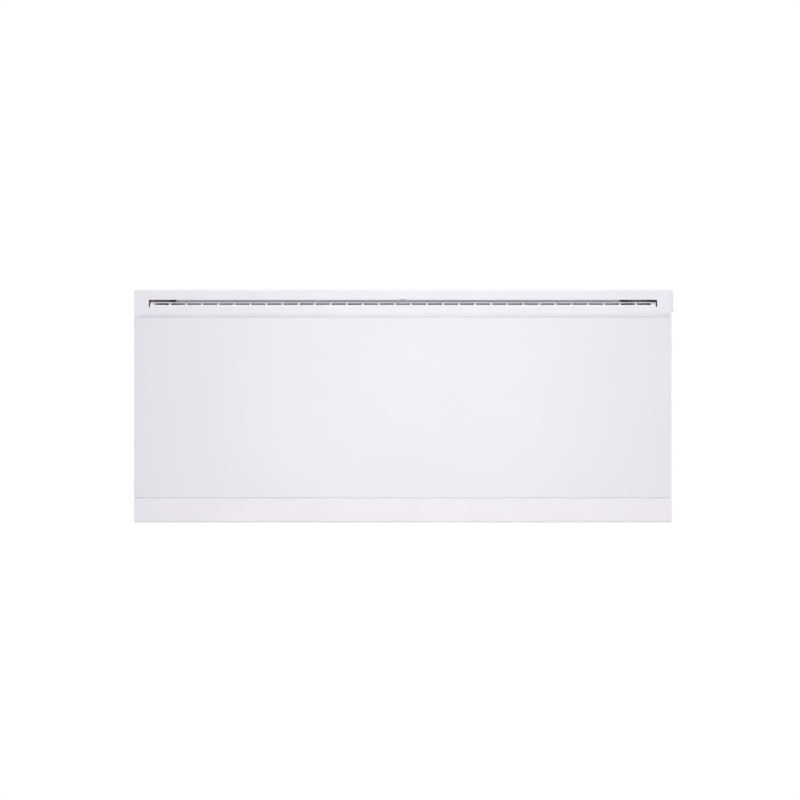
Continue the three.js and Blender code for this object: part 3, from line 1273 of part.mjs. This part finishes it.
// The leads' routes run from terminal to terminal. Their free stretches pass clear of the bay's other pieces.
function addWiring() {
  const step = (count) => count * LEAD_STEP;
  const tab = CUTOUT_DEPTH + TAB_LENGTH - PROUD + PARTITION + 2 * FIT;
  const pin = SHEATH_END + TERMINAL_LENGTH + TERMINAL_PIN + 2 * FIT;
  const switchTab = SWITCH_BACK - TAB_LENGTH - FIT;
  const [switchLow, switchHigh] = span(SWITCH_HEIGHT, TAB_SPACING);
  const [cutoutFront, cutoutBack] = span(ELEMENT_Y, CUTOUT_RADIUS);
  const blockX = (BLOCK_X[0] + BLOCK_X[1]) / 2;
  const [blockLow, blockHigh] = grow(BLOCK_Z, FIT);
  const port = (i, rise) => [PORT_X, portY(i), HOUSING_ROOM_Z[0] + rise];
  const front = blockY(0);
  const back = blockY(BLOCK_WAYS - 1);
  const [legLow, legHigh] = LEG_Z;
  const studTop = FLOOR + EARTH_LENGTH + FIT;
  add('lead_mains_live', lead([
    [blockX, front, blockHigh],
    [blockX, front, blockHigh + step(2)],
    [blockX + step(4.5), front, blockHigh + step(6)],
    [switchTab - step(3.5), SWITCH_Y - LEAD_STUB, switchLow - step(5.5)],
    [switchTab - step(2), SWITCH_Y, switchLow - LEAD_STUB],
    [switchTab - LEAD_STUB, SWITCH_Y, switchLow],
    [switchTab, SWITCH_Y, switchLow],
  ]), BROWN_LEAD);
  add('lead_switched_live', lead([
    [switchTab, SWITCH_Y, switchHigh],
    [switchTab - LEAD_STUB, SWITCH_Y, switchHigh],
    [switchTab - step(2), SWITCH_Y - step(0.5), switchHigh + step(2)],
    [(switchTab + PORT_X) / 2 - step(1), portY(1) + step(1), HOUSING_Z[0] - step(6)],
    port(1, -step(2)),
    port(1, -LEAD_STUB),
    port(1, LEAD_STUB),
  ]), BROWN_LEAD);
  add('lead_relay_out', lead([
    port(0, LEAD_STUB),
    port(0, -LEAD_STUB),
    port(0, -step(2.5)),
    [switchTab - step(5.5), portY(0), SWITCH_HEIGHT + step(3)],
    [switchTab - step(6), portY(0) + LEAD_STUB, CUTOUT_HEIGHT + step(8.5)],
    [tab + step(2.5), cutoutFront - step(0.5), CUTOUT_HEIGHT + step(1.5)],
    [tab + LEAD_STUB, cutoutFront, CUTOUT_HEIGHT],
    [tab, cutoutFront, CUTOUT_HEIGHT],
  ]), RED_LEAD);
  add('lead_cutout_element', lead([
    [tab, cutoutBack, CUTOUT_HEIGHT],
    [tab + LEAD_STUB, cutoutBack, CUTOUT_HEIGHT],
    [tab + step(3), cutoutBack + LEAD_STUB, CUTOUT_HEIGHT - step(3.5)],
    [pin + step(2), cutoutBack, legHigh + step(6.5)],
    [pin + step(3), ELEMENT_Y, legHigh + step(2)],
    [pin + LEAD_STUB, ELEMENT_Y, legHigh],
    [pin, ELEMENT_Y, legHigh],
  ]), RED_LEAD);
  add('lead_neutral', lead([
    [blockX, front, blockLow],
    [blockX, front - step(0.5), blockLow - step(2)],
    [blockX + step(3.5), front - step(1.5), legHigh - step(2)],
    [pin + step(2.25), ELEMENT_Y - step(1.5), legLow + step(2)],
    [pin + step(2), ELEMENT_Y, legLow],
    [pin + LEAD_STUB, ELEMENT_Y, legLow],
    [pin, ELEMENT_Y, legLow],
  ]), BLUE_LEAD);
  add('lead_earth', lead([
    [blockX, back, blockLow],
    [blockX, back, blockLow - step(2)],
    [blockX + step(2.5), back + step(1), legHigh - step(3)],
    [blockX + step(5), back, legLow - step(5)],
    [EARTH_X - LEAD_STUB, EARTH_Y + step(1), studTop + step(3.5)],
    [EARTH_X, EARTH_Y, studTop + step(1)],
    [EARTH_X, EARTH_Y, studTop],
  ]), GREEN_LEAD);
  add('lead_sensor', lead([
    [SENSOR_X, SENSOR_Y[1] + FIT, SENSOR_HEIGHT],
    [SENSOR_X, SENSOR_Y[1] + LEAD_STUB, SENSOR_HEIGHT],
    [SENSOR_X + step(0.5), SENSOR_Y[1] + step(1), SENSOR_HEIGHT + step(3)],
    [PORT_X, portY(2), HEIGHT / 3],
    [PORT_X, portY(2), HEIGHT / 2],
    port(2, -step(2.5)),
    port(2, LEAD_STUB),
  ]), BLACK_PLASTIC);
}

function addBay() {
  add('partition_wall', partitionWall(), ZINC);
  add('overheat_cutout', overheatCutout(), BLACK_PLASTIC);
  add('terminal_block', terminalBlock(), WHITE_PLASTIC);
  add('cable_gland', cableGland(), GREY_PLASTIC);
  add('gland_nut', glandNut(), GREY_PLASTIC);
  add('earth_stud', earthStud(), BRASS);
  add('room_sensor', roomSensor(), BLACK_PLASTIC);
  add('sensor_clip', sensorClip(), GREY_PLASTIC);
  add('power_switch_body', switchBody(), WHITE_PLASTIC);
  add('power_rocker', powerRocker(), WHITE_PLASTIC);
  addWiring();
}

// ---- Assembly

addBracket();
add('front_casing', frontCasing(), PAINT);
add('glass_panel', glassPanel(), GLASS);
glassTapes();
add('rear_cover', rearCover(), PAINT);
coverScrews();
addElement();
add('heat_shield', heatShield(), ALUMINIUM);
add('air_guide', airGuide(), ZINC);
addControls();
addBay();

pieces.position.z = -UPPER_RAIL;

export default pieces;
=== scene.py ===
"""A wall panel convector heater on its wall bracket, in soft studio light.

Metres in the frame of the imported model: X to the right, Z up, the front faces -Y, the wall is Y = 0.
"""

import json
import math

import bmesh
import bpy
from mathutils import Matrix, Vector


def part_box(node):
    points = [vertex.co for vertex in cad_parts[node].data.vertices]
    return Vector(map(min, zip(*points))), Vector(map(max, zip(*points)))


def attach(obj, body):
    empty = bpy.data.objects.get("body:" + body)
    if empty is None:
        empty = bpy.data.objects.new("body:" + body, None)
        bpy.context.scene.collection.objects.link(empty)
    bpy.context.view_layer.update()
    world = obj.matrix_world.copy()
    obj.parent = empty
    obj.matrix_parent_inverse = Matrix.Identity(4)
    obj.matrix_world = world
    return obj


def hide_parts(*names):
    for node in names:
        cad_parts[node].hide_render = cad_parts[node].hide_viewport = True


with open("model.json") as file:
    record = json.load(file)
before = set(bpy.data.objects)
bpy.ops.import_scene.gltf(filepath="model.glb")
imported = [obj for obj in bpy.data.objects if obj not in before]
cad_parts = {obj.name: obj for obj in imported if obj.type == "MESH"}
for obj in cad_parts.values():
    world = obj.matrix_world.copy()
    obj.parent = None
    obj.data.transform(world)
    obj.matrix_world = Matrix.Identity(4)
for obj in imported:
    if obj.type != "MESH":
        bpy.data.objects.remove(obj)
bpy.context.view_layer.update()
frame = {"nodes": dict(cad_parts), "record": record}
nodes = frame["nodes"]
slots = {entry["node"]: entry["material_slot"] for entry in frame["record"]["subparts"]}
bodies = {node: body for body, held in frame["record"]["behaviour"]["bodies"].items() for node in held}

MM = 0.001
FRONT_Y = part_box("front_casing")[0].y

# ---- The photograph's frame: square, straight on, from far away
IMAGE_PIXELS = 800
MM_PER_PIXEL = 1.4586
CAMERA_X = -4.3 * MM
CAMERA_Z = -47.3 * MM
CAMERA_DISTANCE = 6.0
SENSOR = 36.0

# ---- Studio
ROOM_COLOR = (0.95, 0.96, 1.0)
ROOM_STRENGTH = 0.225
WHITE = (1, 1, 1)
WARM_WHITE = (1, 0.985, 0.97)
LAMP_TARGET = (0, 0, -0.05)
FLOOR_Z = -0.95
FLOOR_SIZE = 4.8
FLOOR_CELLS = 8
FLOOR_FADE = (0.9, 2.2)  # from here on the floor grows thin, and here it is gone
FLOOR_DARK = (0.9114, 0.9114, 0.9163)
FLOOR_LIGHT = (0.93, 0.93, 0.935)


# ---- Camera, background and lamps


def add_camera():
    width = IMAGE_PIXELS * MM_PER_PIXEL * MM
    data = bpy.data.cameras.new("camera")
    data.sensor_width = SENSOR
    data.lens = SENSOR * CAMERA_DISTANCE / width
    data.clip_end = 50
    camera = bpy.data.objects.new("camera", data)
    bpy.context.scene.collection.objects.link(camera)
    camera.location = (CAMERA_X, FRONT_Y - CAMERA_DISTANCE, CAMERA_Z)
    camera.rotation_euler = (math.pi / 2, 0, 0)
    bpy.context.scene.camera = camera


def add_world():
    """Soft light from all sides, and white wherever the camera, a gloss or a clear piece sees the room."""
    world = bpy.data.worlds.new("studio")
    bpy.context.scene.world = world
    world.use_nodes = True
    tree = world.node_tree
    tree.nodes.clear()
    output = tree.nodes.new("ShaderNodeOutputWorld")
    mix = tree.nodes.new("ShaderNodeMixShader")
    path = tree.nodes.new("ShaderNodeLightPath")
    room = tree.nodes.new("ShaderNodeBackground")
    room.inputs["Color"].default_value = (*ROOM_COLOR, 1)
    room.inputs["Strength"].default_value = ROOM_STRENGTH
    backdrop = tree.nodes.new("ShaderNodeBackground")
    backdrop.inputs["Color"].default_value = (*WHITE, 1)
    seen = path.outputs["Is Camera Ray"]
    for kind in ("Is Glossy Ray", "Is Transmission Ray"):
        either = tree.nodes.new("ShaderNodeMath")
        either.operation = "MAXIMUM"
        tree.links.new(seen, either.inputs[0])
        tree.links.new(path.outputs[kind], either.inputs[1])
        seen = either.outputs["Value"]
    tree.links.new(seen, mix.inputs["Fac"])
    tree.links.new(room.outputs["Background"], mix.inputs[1])
    tree.links.new(backdrop.outputs["Background"], mix.inputs[2])
    tree.links.new(mix.outputs["Shader"], output.inputs["Surface"])


def add_lamp(name, place, size, watts, target=LAMP_TARGET, color=WHITE):
    data = bpy.data.lights.new(name, "AREA")
    data.shape = "RECTANGLE"
    data.size, data.size_y = size
    data.energy = watts
    data.color = color
    lamp = bpy.data.objects.new(name, data)
    bpy.context.scene.collection.objects.link(lamp)
    lamp.location = place
    way = Vector(target) - Vector(place)
    lamp.rotation_euler = way.to_track_quat("-Z", "Y").to_euler()
    lamp.visible_camera = False
    return lamp


def add_studio():
    add_camera()
    add_world()
    front = add_lamp("front_box", (0.015, -1.2, 0.04), (0.6, 0.5), 6.8, (0.015, 0, -0.03), WARM_WHITE)
    front.visible_glossy = False
    add_lamp("left_box", (-2.2, -1.6, 0.6), (1.4, 1.8), 4.6)
    add_lamp("right_box", (2.5, -0.5, 0.5), (1.4, 1.8), 26)
    add_lamp("top_box", (0.1, -1.0, 3.4), (3.0, 1.4), 52, (0, 0, 0))
    add_lamp("back_box", (0.4, 2.6, 1.0), (2.4, 1.6), 29)


# ---- Materials

NOISE_MIDDLE = (0.3, 0.7)  # the values between which most of a noise lies

class Finish:
    """A Principled material whose colour, roughness and relief come from noise in object space."""

    def __init__(self, name, roughness, metallic=0.0, **sockets):
        self.material = bpy.data.materials.new(name)
        self.material.use_nodes = True
        self.tree = self.material.node_tree
        self.shader = self.tree.nodes["Principled BSDF"]
        self.shader.inputs["Roughness"].default_value = roughness
        self.shader.inputs["Metallic"].default_value = metallic
        for socket, value in sockets.items():
            self.shader.inputs[socket.replace("_", " ")].default_value = value
        self.roughness = roughness
        self.coordinates = self.node("ShaderNodeTexCoord").outputs["Object"]

    def node(self, kind, **inputs):
        made = self.tree.nodes.new(kind)
        for name, value in inputs.items():
            made.inputs[name.replace("_", " ")].default_value = value
        return made

    def link(self, source, target):
        self.tree.links.new(source, target)

    def stretched(self, stretch):
        mapping = self.node("ShaderNodeMapping")
        mapping.inputs["Scale"].default_value = stretch
        self.link(self.coordinates, mapping.inputs["Vector"])
        return mapping.outputs["Vector"]

    def noise(self, size, stretch=(1, 1, 1), detail=3.0):
        """Noise with features of about this size, in metres."""
        texture = self.node("ShaderNodeTexNoise", Scale=1 / size, Detail=detail)
        self.link(self.stretched(stretch), texture.inputs["Vector"])
        return texture.outputs["Fac"]

    def cells(self, size):
        """One random value for each crystal of about this size."""
        texture = self.node("ShaderNodeTexVoronoi", Scale=1 / size)
        self.link(self.stretched((1, 1, 1)), texture.inputs["Vector"])
        split = self.node("ShaderNodeSeparateColor")
        self.link(texture.outputs["Color"], split.inputs["Color"])
        return split.outputs["Red"]

    def color(self, pattern, dark, light, low=0.35, high=0.65):
        """A colour that goes from dark to light as the pattern goes from low to high."""
        spread = self.node("ShaderNodeMapRange", From_Min=low, From_Max=high)
        self.link(pattern, spread.inputs["Value"])
        mix = self.tree.nodes.new("ShaderNodeMix")
        mix.data_type = "RGBA"
        mix.inputs["A"].default_value = (*dark, 1)
        mix.inputs["B"].default_value = (*light, 1)
        self.link(spread.outputs["Result"], mix.inputs["Factor"])
        self.link(mix.outputs["Result"], self.shader.inputs["Base Color"])

    def gloss(self, pattern, spread):
        """Roughness that varies by this much to either side of its middle."""
        scale = self.node("ShaderNodeMapRange", From_Min=NOISE_MIDDLE[0], From_Max=NOISE_MIDDLE[1])
        scale.inputs["To Min"].default_value = self.roughness - spread
        scale.inputs["To Max"].default_value = self.roughness + spread
        self.link(pattern, scale.inputs["Value"])
        self.link(scale.outputs["Result"], self.shader.inputs["Roughness"])

    def fade(self, near, far):
        """Solid up to the near distance from the object's origin, clear beyond the far one and from below."""
        reach = self.node("ShaderNodeVectorMath")
        reach.operation = "LENGTH"
        self.link(self.coordinates, reach.inputs[0])
        scale = self.node("ShaderNodeMapRange", From_Min=near, From_Max=far)
        scale.interpolation_type = "SMOOTHSTEP"
        self.link(reach.outputs["Value"], scale.inputs["Value"])
        clear = self.node("ShaderNodeMath")
        clear.operation = "MAXIMUM"
        self.link(scale.outputs["Result"], clear.inputs[0])
        self.link(self.node("ShaderNodeNewGeometry").outputs["Backfacing"], clear.inputs[1])
        mix = self.node("ShaderNodeMixShader")
        self.link(clear.outputs["Value"], mix.inputs["Fac"])
        self.link(self.shader.outputs["BSDF"], mix.inputs[1])
        self.link(self.node("ShaderNodeBsdfTransparent").outputs["BSDF"], mix.inputs[2])
        self.link(mix.outputs["Shader"], self.tree.nodes["Material Output"].inputs["Surface"])

    def relief(self, pattern, depth, strength=0.5):
        """A fine unevenness of this depth."""
        bump = self.node("ShaderNodeBump", Strength=strength, Distance=depth)
        self.link(pattern, bump.inputs["Height"])
        self.link(bump.outputs["Normal"], self.shader.inputs["Normal"])


def powder_coat():
    finish = Finish("powder_coat", 0.42, Specular_IOR_Level=0.42)
    finish.color(finish.noise(60 * MM, detail=5), (0.858, 0.849, 0.894), (0.882, 0.873, 0.918))
    finish.gloss(finish.noise(9 * MM), 0.05)
    finish.relief(finish.noise(0.9 * MM, detail=2), 0.045 * MM, 0.5)
    return finish.material


def painted_glass():
    finish = Finish("painted_glass", 0.16, IOR=1.52, Coat_Weight=1.0, Coat_Roughness=0.04)
    finish.color(finish.noise(140 * MM, detail=4), (0.806, 0.822, 0.862), (0.818, 0.834, 0.874))
    finish.gloss(finish.noise(30 * MM), 0.03)
    finish.relief(finish.noise(90 * MM, detail=1), 0.02 * MM, 0.2)
    return finish.material


def bonding_tape():
    finish = Finish("bonding_tape", 0.88)
    finish.color(finish.noise(2 * MM), (0.62, 0.62, 0.6), (0.74, 0.74, 0.72))
    finish.relief(finish.noise(0.8 * MM), 0.05 * MM)
    return finish.material


def galvanised():
    finish = Finish("galvanised", 0.42, 0.9)
    finish.color(finish.cells(3.5 * MM), (0.5, 0.515, 0.535), (0.6, 0.615, 0.63), 0.0, 1.0)
    finish.gloss(finish.cells(3.5 * MM), 0.05)
    finish.relief(finish.noise(1.2 * MM), 0.02 * MM, 0.4)
    return finish.material


def zinc_plate():
    finish = Finish("zinc_plate", 0.3, 1.0)
    finish.color(finish.noise(3 * MM), (0.52, 0.54, 0.56), (0.68, 0.69, 0.7))
    finish.gloss(finish.noise(1 * MM), 0.08)
    return finish.material


def spring_steel():
    finish = Finish("spring_steel", 0.26, 1.0)
    streaks = finish.noise(1.5 * MM, (1, 8, 0.2))
    finish.color(streaks, (0.3, 0.31, 0.33), (0.46, 0.47, 0.49))
    finish.gloss(streaks, 0.07)
    return finish.material


def mill_aluminium():
    finish = Finish("mill_aluminium", 0.34, 1.0)
    streaks = finish.noise(2 * MM, (0.1, 1, 3))
    finish.color(streaks, (0.63, 0.645, 0.66), (0.78, 0.79, 0.8))
    finish.gloss(streaks, 0.08)
    return finish.material


def hot_steel():
    finish = Finish("hot_steel", 0.42, 0.9)
    finish.color(finish.noise(25 * MM, detail=6), (0.16, 0.12, 0.1), (0.36, 0.31, 0.27))
    finish.gloss(finish.noise(4 * MM), 0.1)
    return finish.material


def ceramic():
    finish = Finish("ceramic", 0.6)
    finish.color(finish.noise(2 * MM), (0.74, 0.7, 0.62), (0.84, 0.81, 0.73))
    finish.relief(finish.noise(0.5 * MM), 0.03 * MM)
    return finish.material


def moulded(name, dark, light, roughness, **sockets):
    finish = Finish(name, roughness, **sockets)
    finish.color(finish.noise(12 * MM, detail=4), dark, light)
    finish.gloss(finish.noise(3 * MM), 0.05)
    finish.relief(finish.noise(0.4 * MM, detail=2), 0.035 * MM, 0.5)
    return finish.material


def smoked_window():
    finish = Finish("smoked_window", 0.07, Coat_Weight=1.0, Coat_Roughness=0.03)
    finish.color(finish.noise(10 * MM), (0.012, 0.013, 0.016), (0.018, 0.02, 0.024))
    finish.gloss(finish.noise(6 * MM), 0.02)
    return finish.material


def brass():
    finish = Finish("brass", 0.32, 1.0)
    finish.color(finish.noise(2 * MM), (0.6, 0.43, 0.18), (0.76, 0.58, 0.28))
    finish.gloss(finish.noise(1 * MM), 0.07)
    return finish.material


def sleeve(name, color):
    finish = Finish(name, 0.5)
    light = tuple(min(1.0, 1.25 * channel) for channel in color)
    finish.color(finish.noise(2 * MM), color, light)
    finish.gloss(finish.noise(1 * MM), 0.08)
    return finish.material


def make_materials():
    return {
        "painted_steel": powder_coat(),
        "white_glass": painted_glass(),
        "bonding_tape": bonding_tape(),
        "galvanised_steel": galvanised(),
        "spring_steel": spring_steel(),
        "fastener_steel": zinc_plate(),
        "element_aluminium": mill_aluminium(),
        "element_tube": hot_steel(),
        "ceramic": ceramic(),
        "white_plastic": moulded("white_plastic", (0.88, 0.88, 0.895), (0.91, 0.91, 0.925), 0.46),
        "grey_plastic": moulded("grey_plastic", (0.25, 0.26, 0.28), (0.3, 0.31, 0.33), 0.55),
        "black_plastic": moulded("black_plastic", (0.012, 0.012, 0.014), (0.024, 0.024, 0.027), 0.38),
        "dark_window": smoked_window(),
        "circuit_board": moulded("circuit_board", (0.01, 0.1, 0.045), (0.02, 0.16, 0.07), 0.35),
        "brass": brass(),
        "brown_sleeve": sleeve("brown_sleeve", (0.12, 0.05, 0.025)),
        "red_sleeve": sleeve("red_sleeve", (0.33, 0.03, 0.02)),
        "blue_sleeve": sleeve("blue_sleeve", (0.02, 0.08, 0.3)),
        "green_sleeve": sleeve("green_sleeve", (0.12, 0.3, 0.03)),
        "black_sleeve": sleeve("black_sleeve", (0.015, 0.015, 0.016)),
    }


# ---- The CAD nodes: vertices joined, edges broken by a small bevel, and their materials

BEVELS = {
    "front_casing": 0.25 * MM,
    "rear_cover": 0.2 * MM,
    "wall_bracket": 0.25 * MM,
    "control_bezel": 0.35 * MM,
    "control_housing": 0.3 * MM,
    "power_switch_body": 0.3 * MM,
    "power_rocker": 0.4 * MM,
    "display_window": 0.15 * MM,
    "heat_shield": 0.1 * MM,
    "air_guide": 0.1 * MM,
    "partition_wall": 0.15 * MM,
    "glass_panel": 0.15 * MM,
}
BEVEL_SEGMENTS = 2
BEVEL_ANGLE = math.radians(31)
WELD_DISTANCE = 0.01 * MM


def dress(node, obj, material):
    """The node's material, with its vertices joined and its sharp edges softened."""
    obj.data.materials.clear()
    obj.data.materials.append(material)
    weld = obj.modifiers.new("weld", "WELD")
    weld.merge_threshold = WELD_DISTANCE
    if node in BEVELS:
        bevel = obj.modifiers.new("bevel", "BEVEL")
        bevel.width = BEVELS[node]
        bevel.segments = BEVEL_SEGMENTS
        bevel.limit_method = "ANGLE"
        bevel.angle_limit = BEVEL_ANGLE
        bevel.harden_normals = True


def dress_nodes(materials):
    for node, slot in slots.items():
        dress(node, nodes[node], materials[slot])


# ---- Turned pieces, rounder and finer than the solids they stand for

TURN_STEPS = 108
CROWN_RINGS = 26
SHARP_ANGLE = math.radians(38)
SCREW_HEAD = 1.7 * MM
SCREW_SHOULDER = SCREW_HEAD / 3
SCREW_SEAT = 0.95  # of the head's radius
SCREW_EDGE = 0.1 * MM
SCREW_SHANK = 1.9 * MM
SCREW_TURN = 0.9  # radians from one screw's recess to the next one's
RECESS_DEPTH = 0.95 * MM
RECESS_WIDTH = 0.17  # these five are shares of the head's radius or of the recess's depth
RECESS_WALL = 0.05
RECESS_REACH = 0.6
RECESS_END = 0.1
RECESS_SLOPE = 0.4
RIVET_HEAD = 1.2 * MM
RIVET_SHANK = 2 * MM
BUTTON_RADIUS = 2.6 * MM
BUTTON_FLANGE = 0.7 * MM
BUTTON_FLANGE_BELOW_TOP = 3.5 * MM
BUTTON_STEM = 1.55 * MM
BUTTON_DISH = 0.28 * MM
BUTTON_DISH_RINGS = 8
BUTTON_EDGE = 0.45 * MM
BUTTON_EDGE_RINGS = 6
GLAND_THREAD = 6 * MM
GLAND_BORE = 3.8 * MM
GLAND_BORE_CHAMFER = 0.3 * MM
GLAND_OUTSIDE = 8 * MM
GLAND_FLANGE = 2.4 * MM
GLAND_FLANGE_EDGE = 0.97  # these four are shares of the flange's radius
GLAND_NECK = 0.93
GLAND_NUT_FOOT = 0.96
GLAND_NUT = 0.99
GLAND_GROOVE = 0.5 * MM
GLAND_CHAMFER = 0.2 * MM
GLAND_NUT_CHAMFER = 0.3 * MM
GLAND_CROWN = 1.2 * MM
GLAND_CROWN_RINGS = 8
GLAND_MOUTH = 5.6 * MM
GLAND_LIP = 0.85 * GLAND_MOUTH
GLAND_WELL = 0.82 * GLAND_MOUTH
GLAND_WELL_DEPTH = 1.3 * MM
GLAND_RIBS = 18
GLAND_RIB_DEPTH = 0.45 * MM
GLAND_RIB_START = 0.1 * MM
GLAND_RIB_END = 0.6 * MM


def quarter(rings):
    """Angles of a quarter turn, from 0 on."""
    return [math.pi / 2 * i / rings for i in range(rings + 1)]


def round_vertex(mesh, radius, along, angle, axis, place):
    side, up = radius * math.cos(angle), radius * math.sin(angle)
    local = (side, along, up) if axis == "y" else (along, side, up)
    return mesh.verts.new(Vector(local) + place)


def make_turned(node, rings, axis, materials, closed=False, shape=None):
    """A piece turned round its node's middle, from rings of (radius, place along the axis).

    A ring of no radius is a pole. The shape function moves single points of the rings.
    """
    low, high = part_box(node)
    middle = (low + high) / 2
    place = Vector((middle.x, 0, middle.z)) if axis == "y" else Vector((0, middle.y, middle.z))
    mesh = bmesh.new()
    made = []
    for radius, along in rings:
        steps = TURN_STEPS if radius > 0 else 1
        angles = [2 * math.pi * i / steps for i in range(steps)]
        spots = [shape(radius, along, angle) if shape else (radius, along) for angle in angles]
        made.append([round_vertex(mesh, *spot, angle, axis, place) for spot, angle in zip(spots, angles)])
    for one, other in zip(made, made[1:] + made[:1] if closed else made[1:]):
        for i in range(TURN_STEPS):
            j = (i + 1) % TURN_STEPS
            corners = [one[i % len(one)], one[j % len(one)], other[j % len(other)], other[i % len(other)]]
            mesh.faces.new(list(dict.fromkeys(corners)))
    bmesh.ops.recalc_face_normals(mesh, faces=mesh.faces)
    data = bpy.data.meshes.new(node + "_turned")
    mesh.to_mesh(data)
    mesh.free()
    data.polygons.foreach_set("use_smooth", [True] * len(data.polygons))
    data.set_sharp_from_angle(angle=SHARP_ANGLE)
    data.materials.append(materials[slots[node]])
    piece = bpy.data.objects.new(node + "_turned", data)
    bpy.context.scene.collection.objects.link(piece)
    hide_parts(node)
    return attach(piece, bodies[node])


def dome(radius, foot, rise):
    """Rings of a dome from just inside its rim to its pole."""
    shares = [math.cos(angle) for angle in quarter(CROWN_RINGS)[1:-1]]
    rings = [(radius * share, foot + rise * math.sqrt(1 - share * share)) for share in shares]
    return rings + [(0, foot + rise)]


def cross_recess(share, angle):
    """Depth of a cross recess, from 0 to 1, at a share of the head's radius."""
    across, along = sorted((abs(share * math.cos(angle)), abs(share * math.sin(angle))))
    wall = min(1, max(0, (RECESS_WIDTH - across) / RECESS_WALL))
    end = min(1, max(0, (RECESS_REACH - along) / RECESS_END))
    return wall * end * (1 - RECESS_SLOPE * along)


def add_cover_screws(materials):
    screws = sorted(node for node in slots if node.startswith("rear_cover_screw"))
    for count, node in enumerate(screws):
        low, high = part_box(node)
        radius = (high.x - low.x) / 2
        seat = high.y - SCREW_HEAD
        shoulder = seat + SCREW_SHOULDER

        def shape(r, along, angle, turn=SCREW_TURN * count, radius=radius, shoulder=shoulder):
            depth = RECESS_DEPTH * cross_recess(r / radius, angle + turn) if along > shoulder else 0
            return r, along - depth

        rings = [(0, low.y), (SCREW_SHANK / 2, low.y), (SCREW_SHANK, low.y + SCREW_SHANK)]
        rings += [(SCREW_SHANK, seat), (SCREW_SEAT * radius, seat), (radius, seat + SCREW_EDGE)]
        rings += [(radius, shoulder)] + dome(radius, shoulder, high.y - shoulder)
        make_turned(node, rings, "y", materials, shape=shape)


def add_rivets(materials):
    for node in ("latch_rivet_left", "latch_rivet_right"):
        low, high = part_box(node)
        face = low.y + RIVET_HEAD
        rings = dome((high.x - low.x) / 2, face, -RIVET_HEAD)[::-1]
        rings += [(RIVET_SHANK, face), (RIVET_SHANK, high.y), (0, high.y)]
        make_turned(node, rings, "y", materials)


def add_buttons(materials):
    for node in ("button_down", "button_ok", "button_up"):
        low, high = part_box(node)
        rim = (high.y - low.y) / 2
        flange = high.x - BUTTON_FLANGE_BELOW_TOP
        rings = [(0, low.x), (BUTTON_STEM, low.x), (BUTTON_STEM, flange - BUTTON_FLANGE)]
        rings += [(rim, flange - BUTTON_FLANGE), (rim, flange), (BUTTON_RADIUS, flange)]
        inner = BUTTON_RADIUS - BUTTON_EDGE
        foot = high.x - BUTTON_EDGE
        edge = quarter(BUTTON_EDGE_RINGS)
        rings += [(inner + BUTTON_EDGE * math.cos(a), foot + BUTTON_EDGE * math.sin(a)) for a in edge]
        shares = [1 - i / BUTTON_DISH_RINGS for i in range(1, BUTTON_DISH_RINGS)]
        rings += [(inner * share, high.x - BUTTON_DISH * (1 - share * share)) for share in shares]
        rings.append((0, high.x - BUTTON_DISH))
        make_turned(node, rings, "x", materials)


def add_cable_gland(materials):
    low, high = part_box("cable_gland")
    radius = (high.x - low.x) / 2
    seat = high.y - GLAND_OUTSIDE
    groove = seat + GLAND_FLANGE
    nut = groove + GLAND_GROOVE
    crown = nut + GLAND_CROWN
    rise = high.y - crown - GLAND_CHAMFER
    well = high.y - GLAND_WELL_DEPTH

    def shape(r, along, angle):
        ribbed = nut + GLAND_RIB_START < along < high.y - GLAND_RIB_END and r > GLAND_MOUTH
        return (r - GLAND_RIB_DEPTH * (0.5 - 0.5 * math.cos(GLAND_RIBS * angle)) if ribbed else r), along

    rings = [(GLAND_BORE, low.y), (GLAND_THREAD, low.y), (GLAND_THREAD, seat)]
    rings += [(GLAND_FLANGE_EDGE * radius, seat), (radius, seat + GLAND_CHAMFER)]
    rings += [(radius, groove - GLAND_CHAMFER), (GLAND_FLANGE_EDGE * radius, groove)]
    rings += [(GLAND_NECK * radius, groove), (GLAND_NECK * radius, nut)]
    rings += [(GLAND_NUT_FOOT * radius, nut), (GLAND_NUT * radius, nut + GLAND_NUT_CHAMFER)]
    width = GLAND_NUT * radius - GLAND_MOUTH
    angles = quarter(GLAND_CROWN_RINGS)
    rings += [(GLAND_MOUTH + width * math.cos(a), crown + rise * math.sin(a)) for a in angles]
    rings += [(GLAND_MOUTH, high.y), (GLAND_LIP, high.y), (GLAND_WELL, high.y - GLAND_CHAMFER)]
    rings += [(GLAND_WELL, well), (GLAND_BORE + GLAND_BORE_CHAMFER, well)]
    rings.append((GLAND_BORE, well - GLAND_BORE_CHAMFER))
    make_turned("cable_gland", rings, "y", materials, closed=True, shape=shape)


def add_turned_pieces(materials):
    add_cover_screws(materials)
    add_rivets(materials)
    add_buttons(materials)
    add_cable_gland(materials)


# ---- Floor


def add_floor():
    cells = {"x_subdivisions": FLOOR_CELLS, "y_subdivisions": FLOOR_CELLS}
    bpy.ops.mesh.primitive_grid_add(size=FLOOR_SIZE, **cells)
    floor = bpy.context.object
    floor.name = "floor"
    floor.location = (0, 0, FLOOR_Z)
    finish = Finish("floor", 0.8)
    finish.color(finish.noise(200 * MM), FLOOR_DARK, FLOOR_LIGHT)
    finish.fade(*FLOOR_FADE)
    floor.data.materials.append(finish.material)


add_studio()
materials = make_materials()
dress_nodes(materials)
add_turned_pieces(materials)
add_floor()

bpy.context.scene.view_settings.view_transform = "Standard"
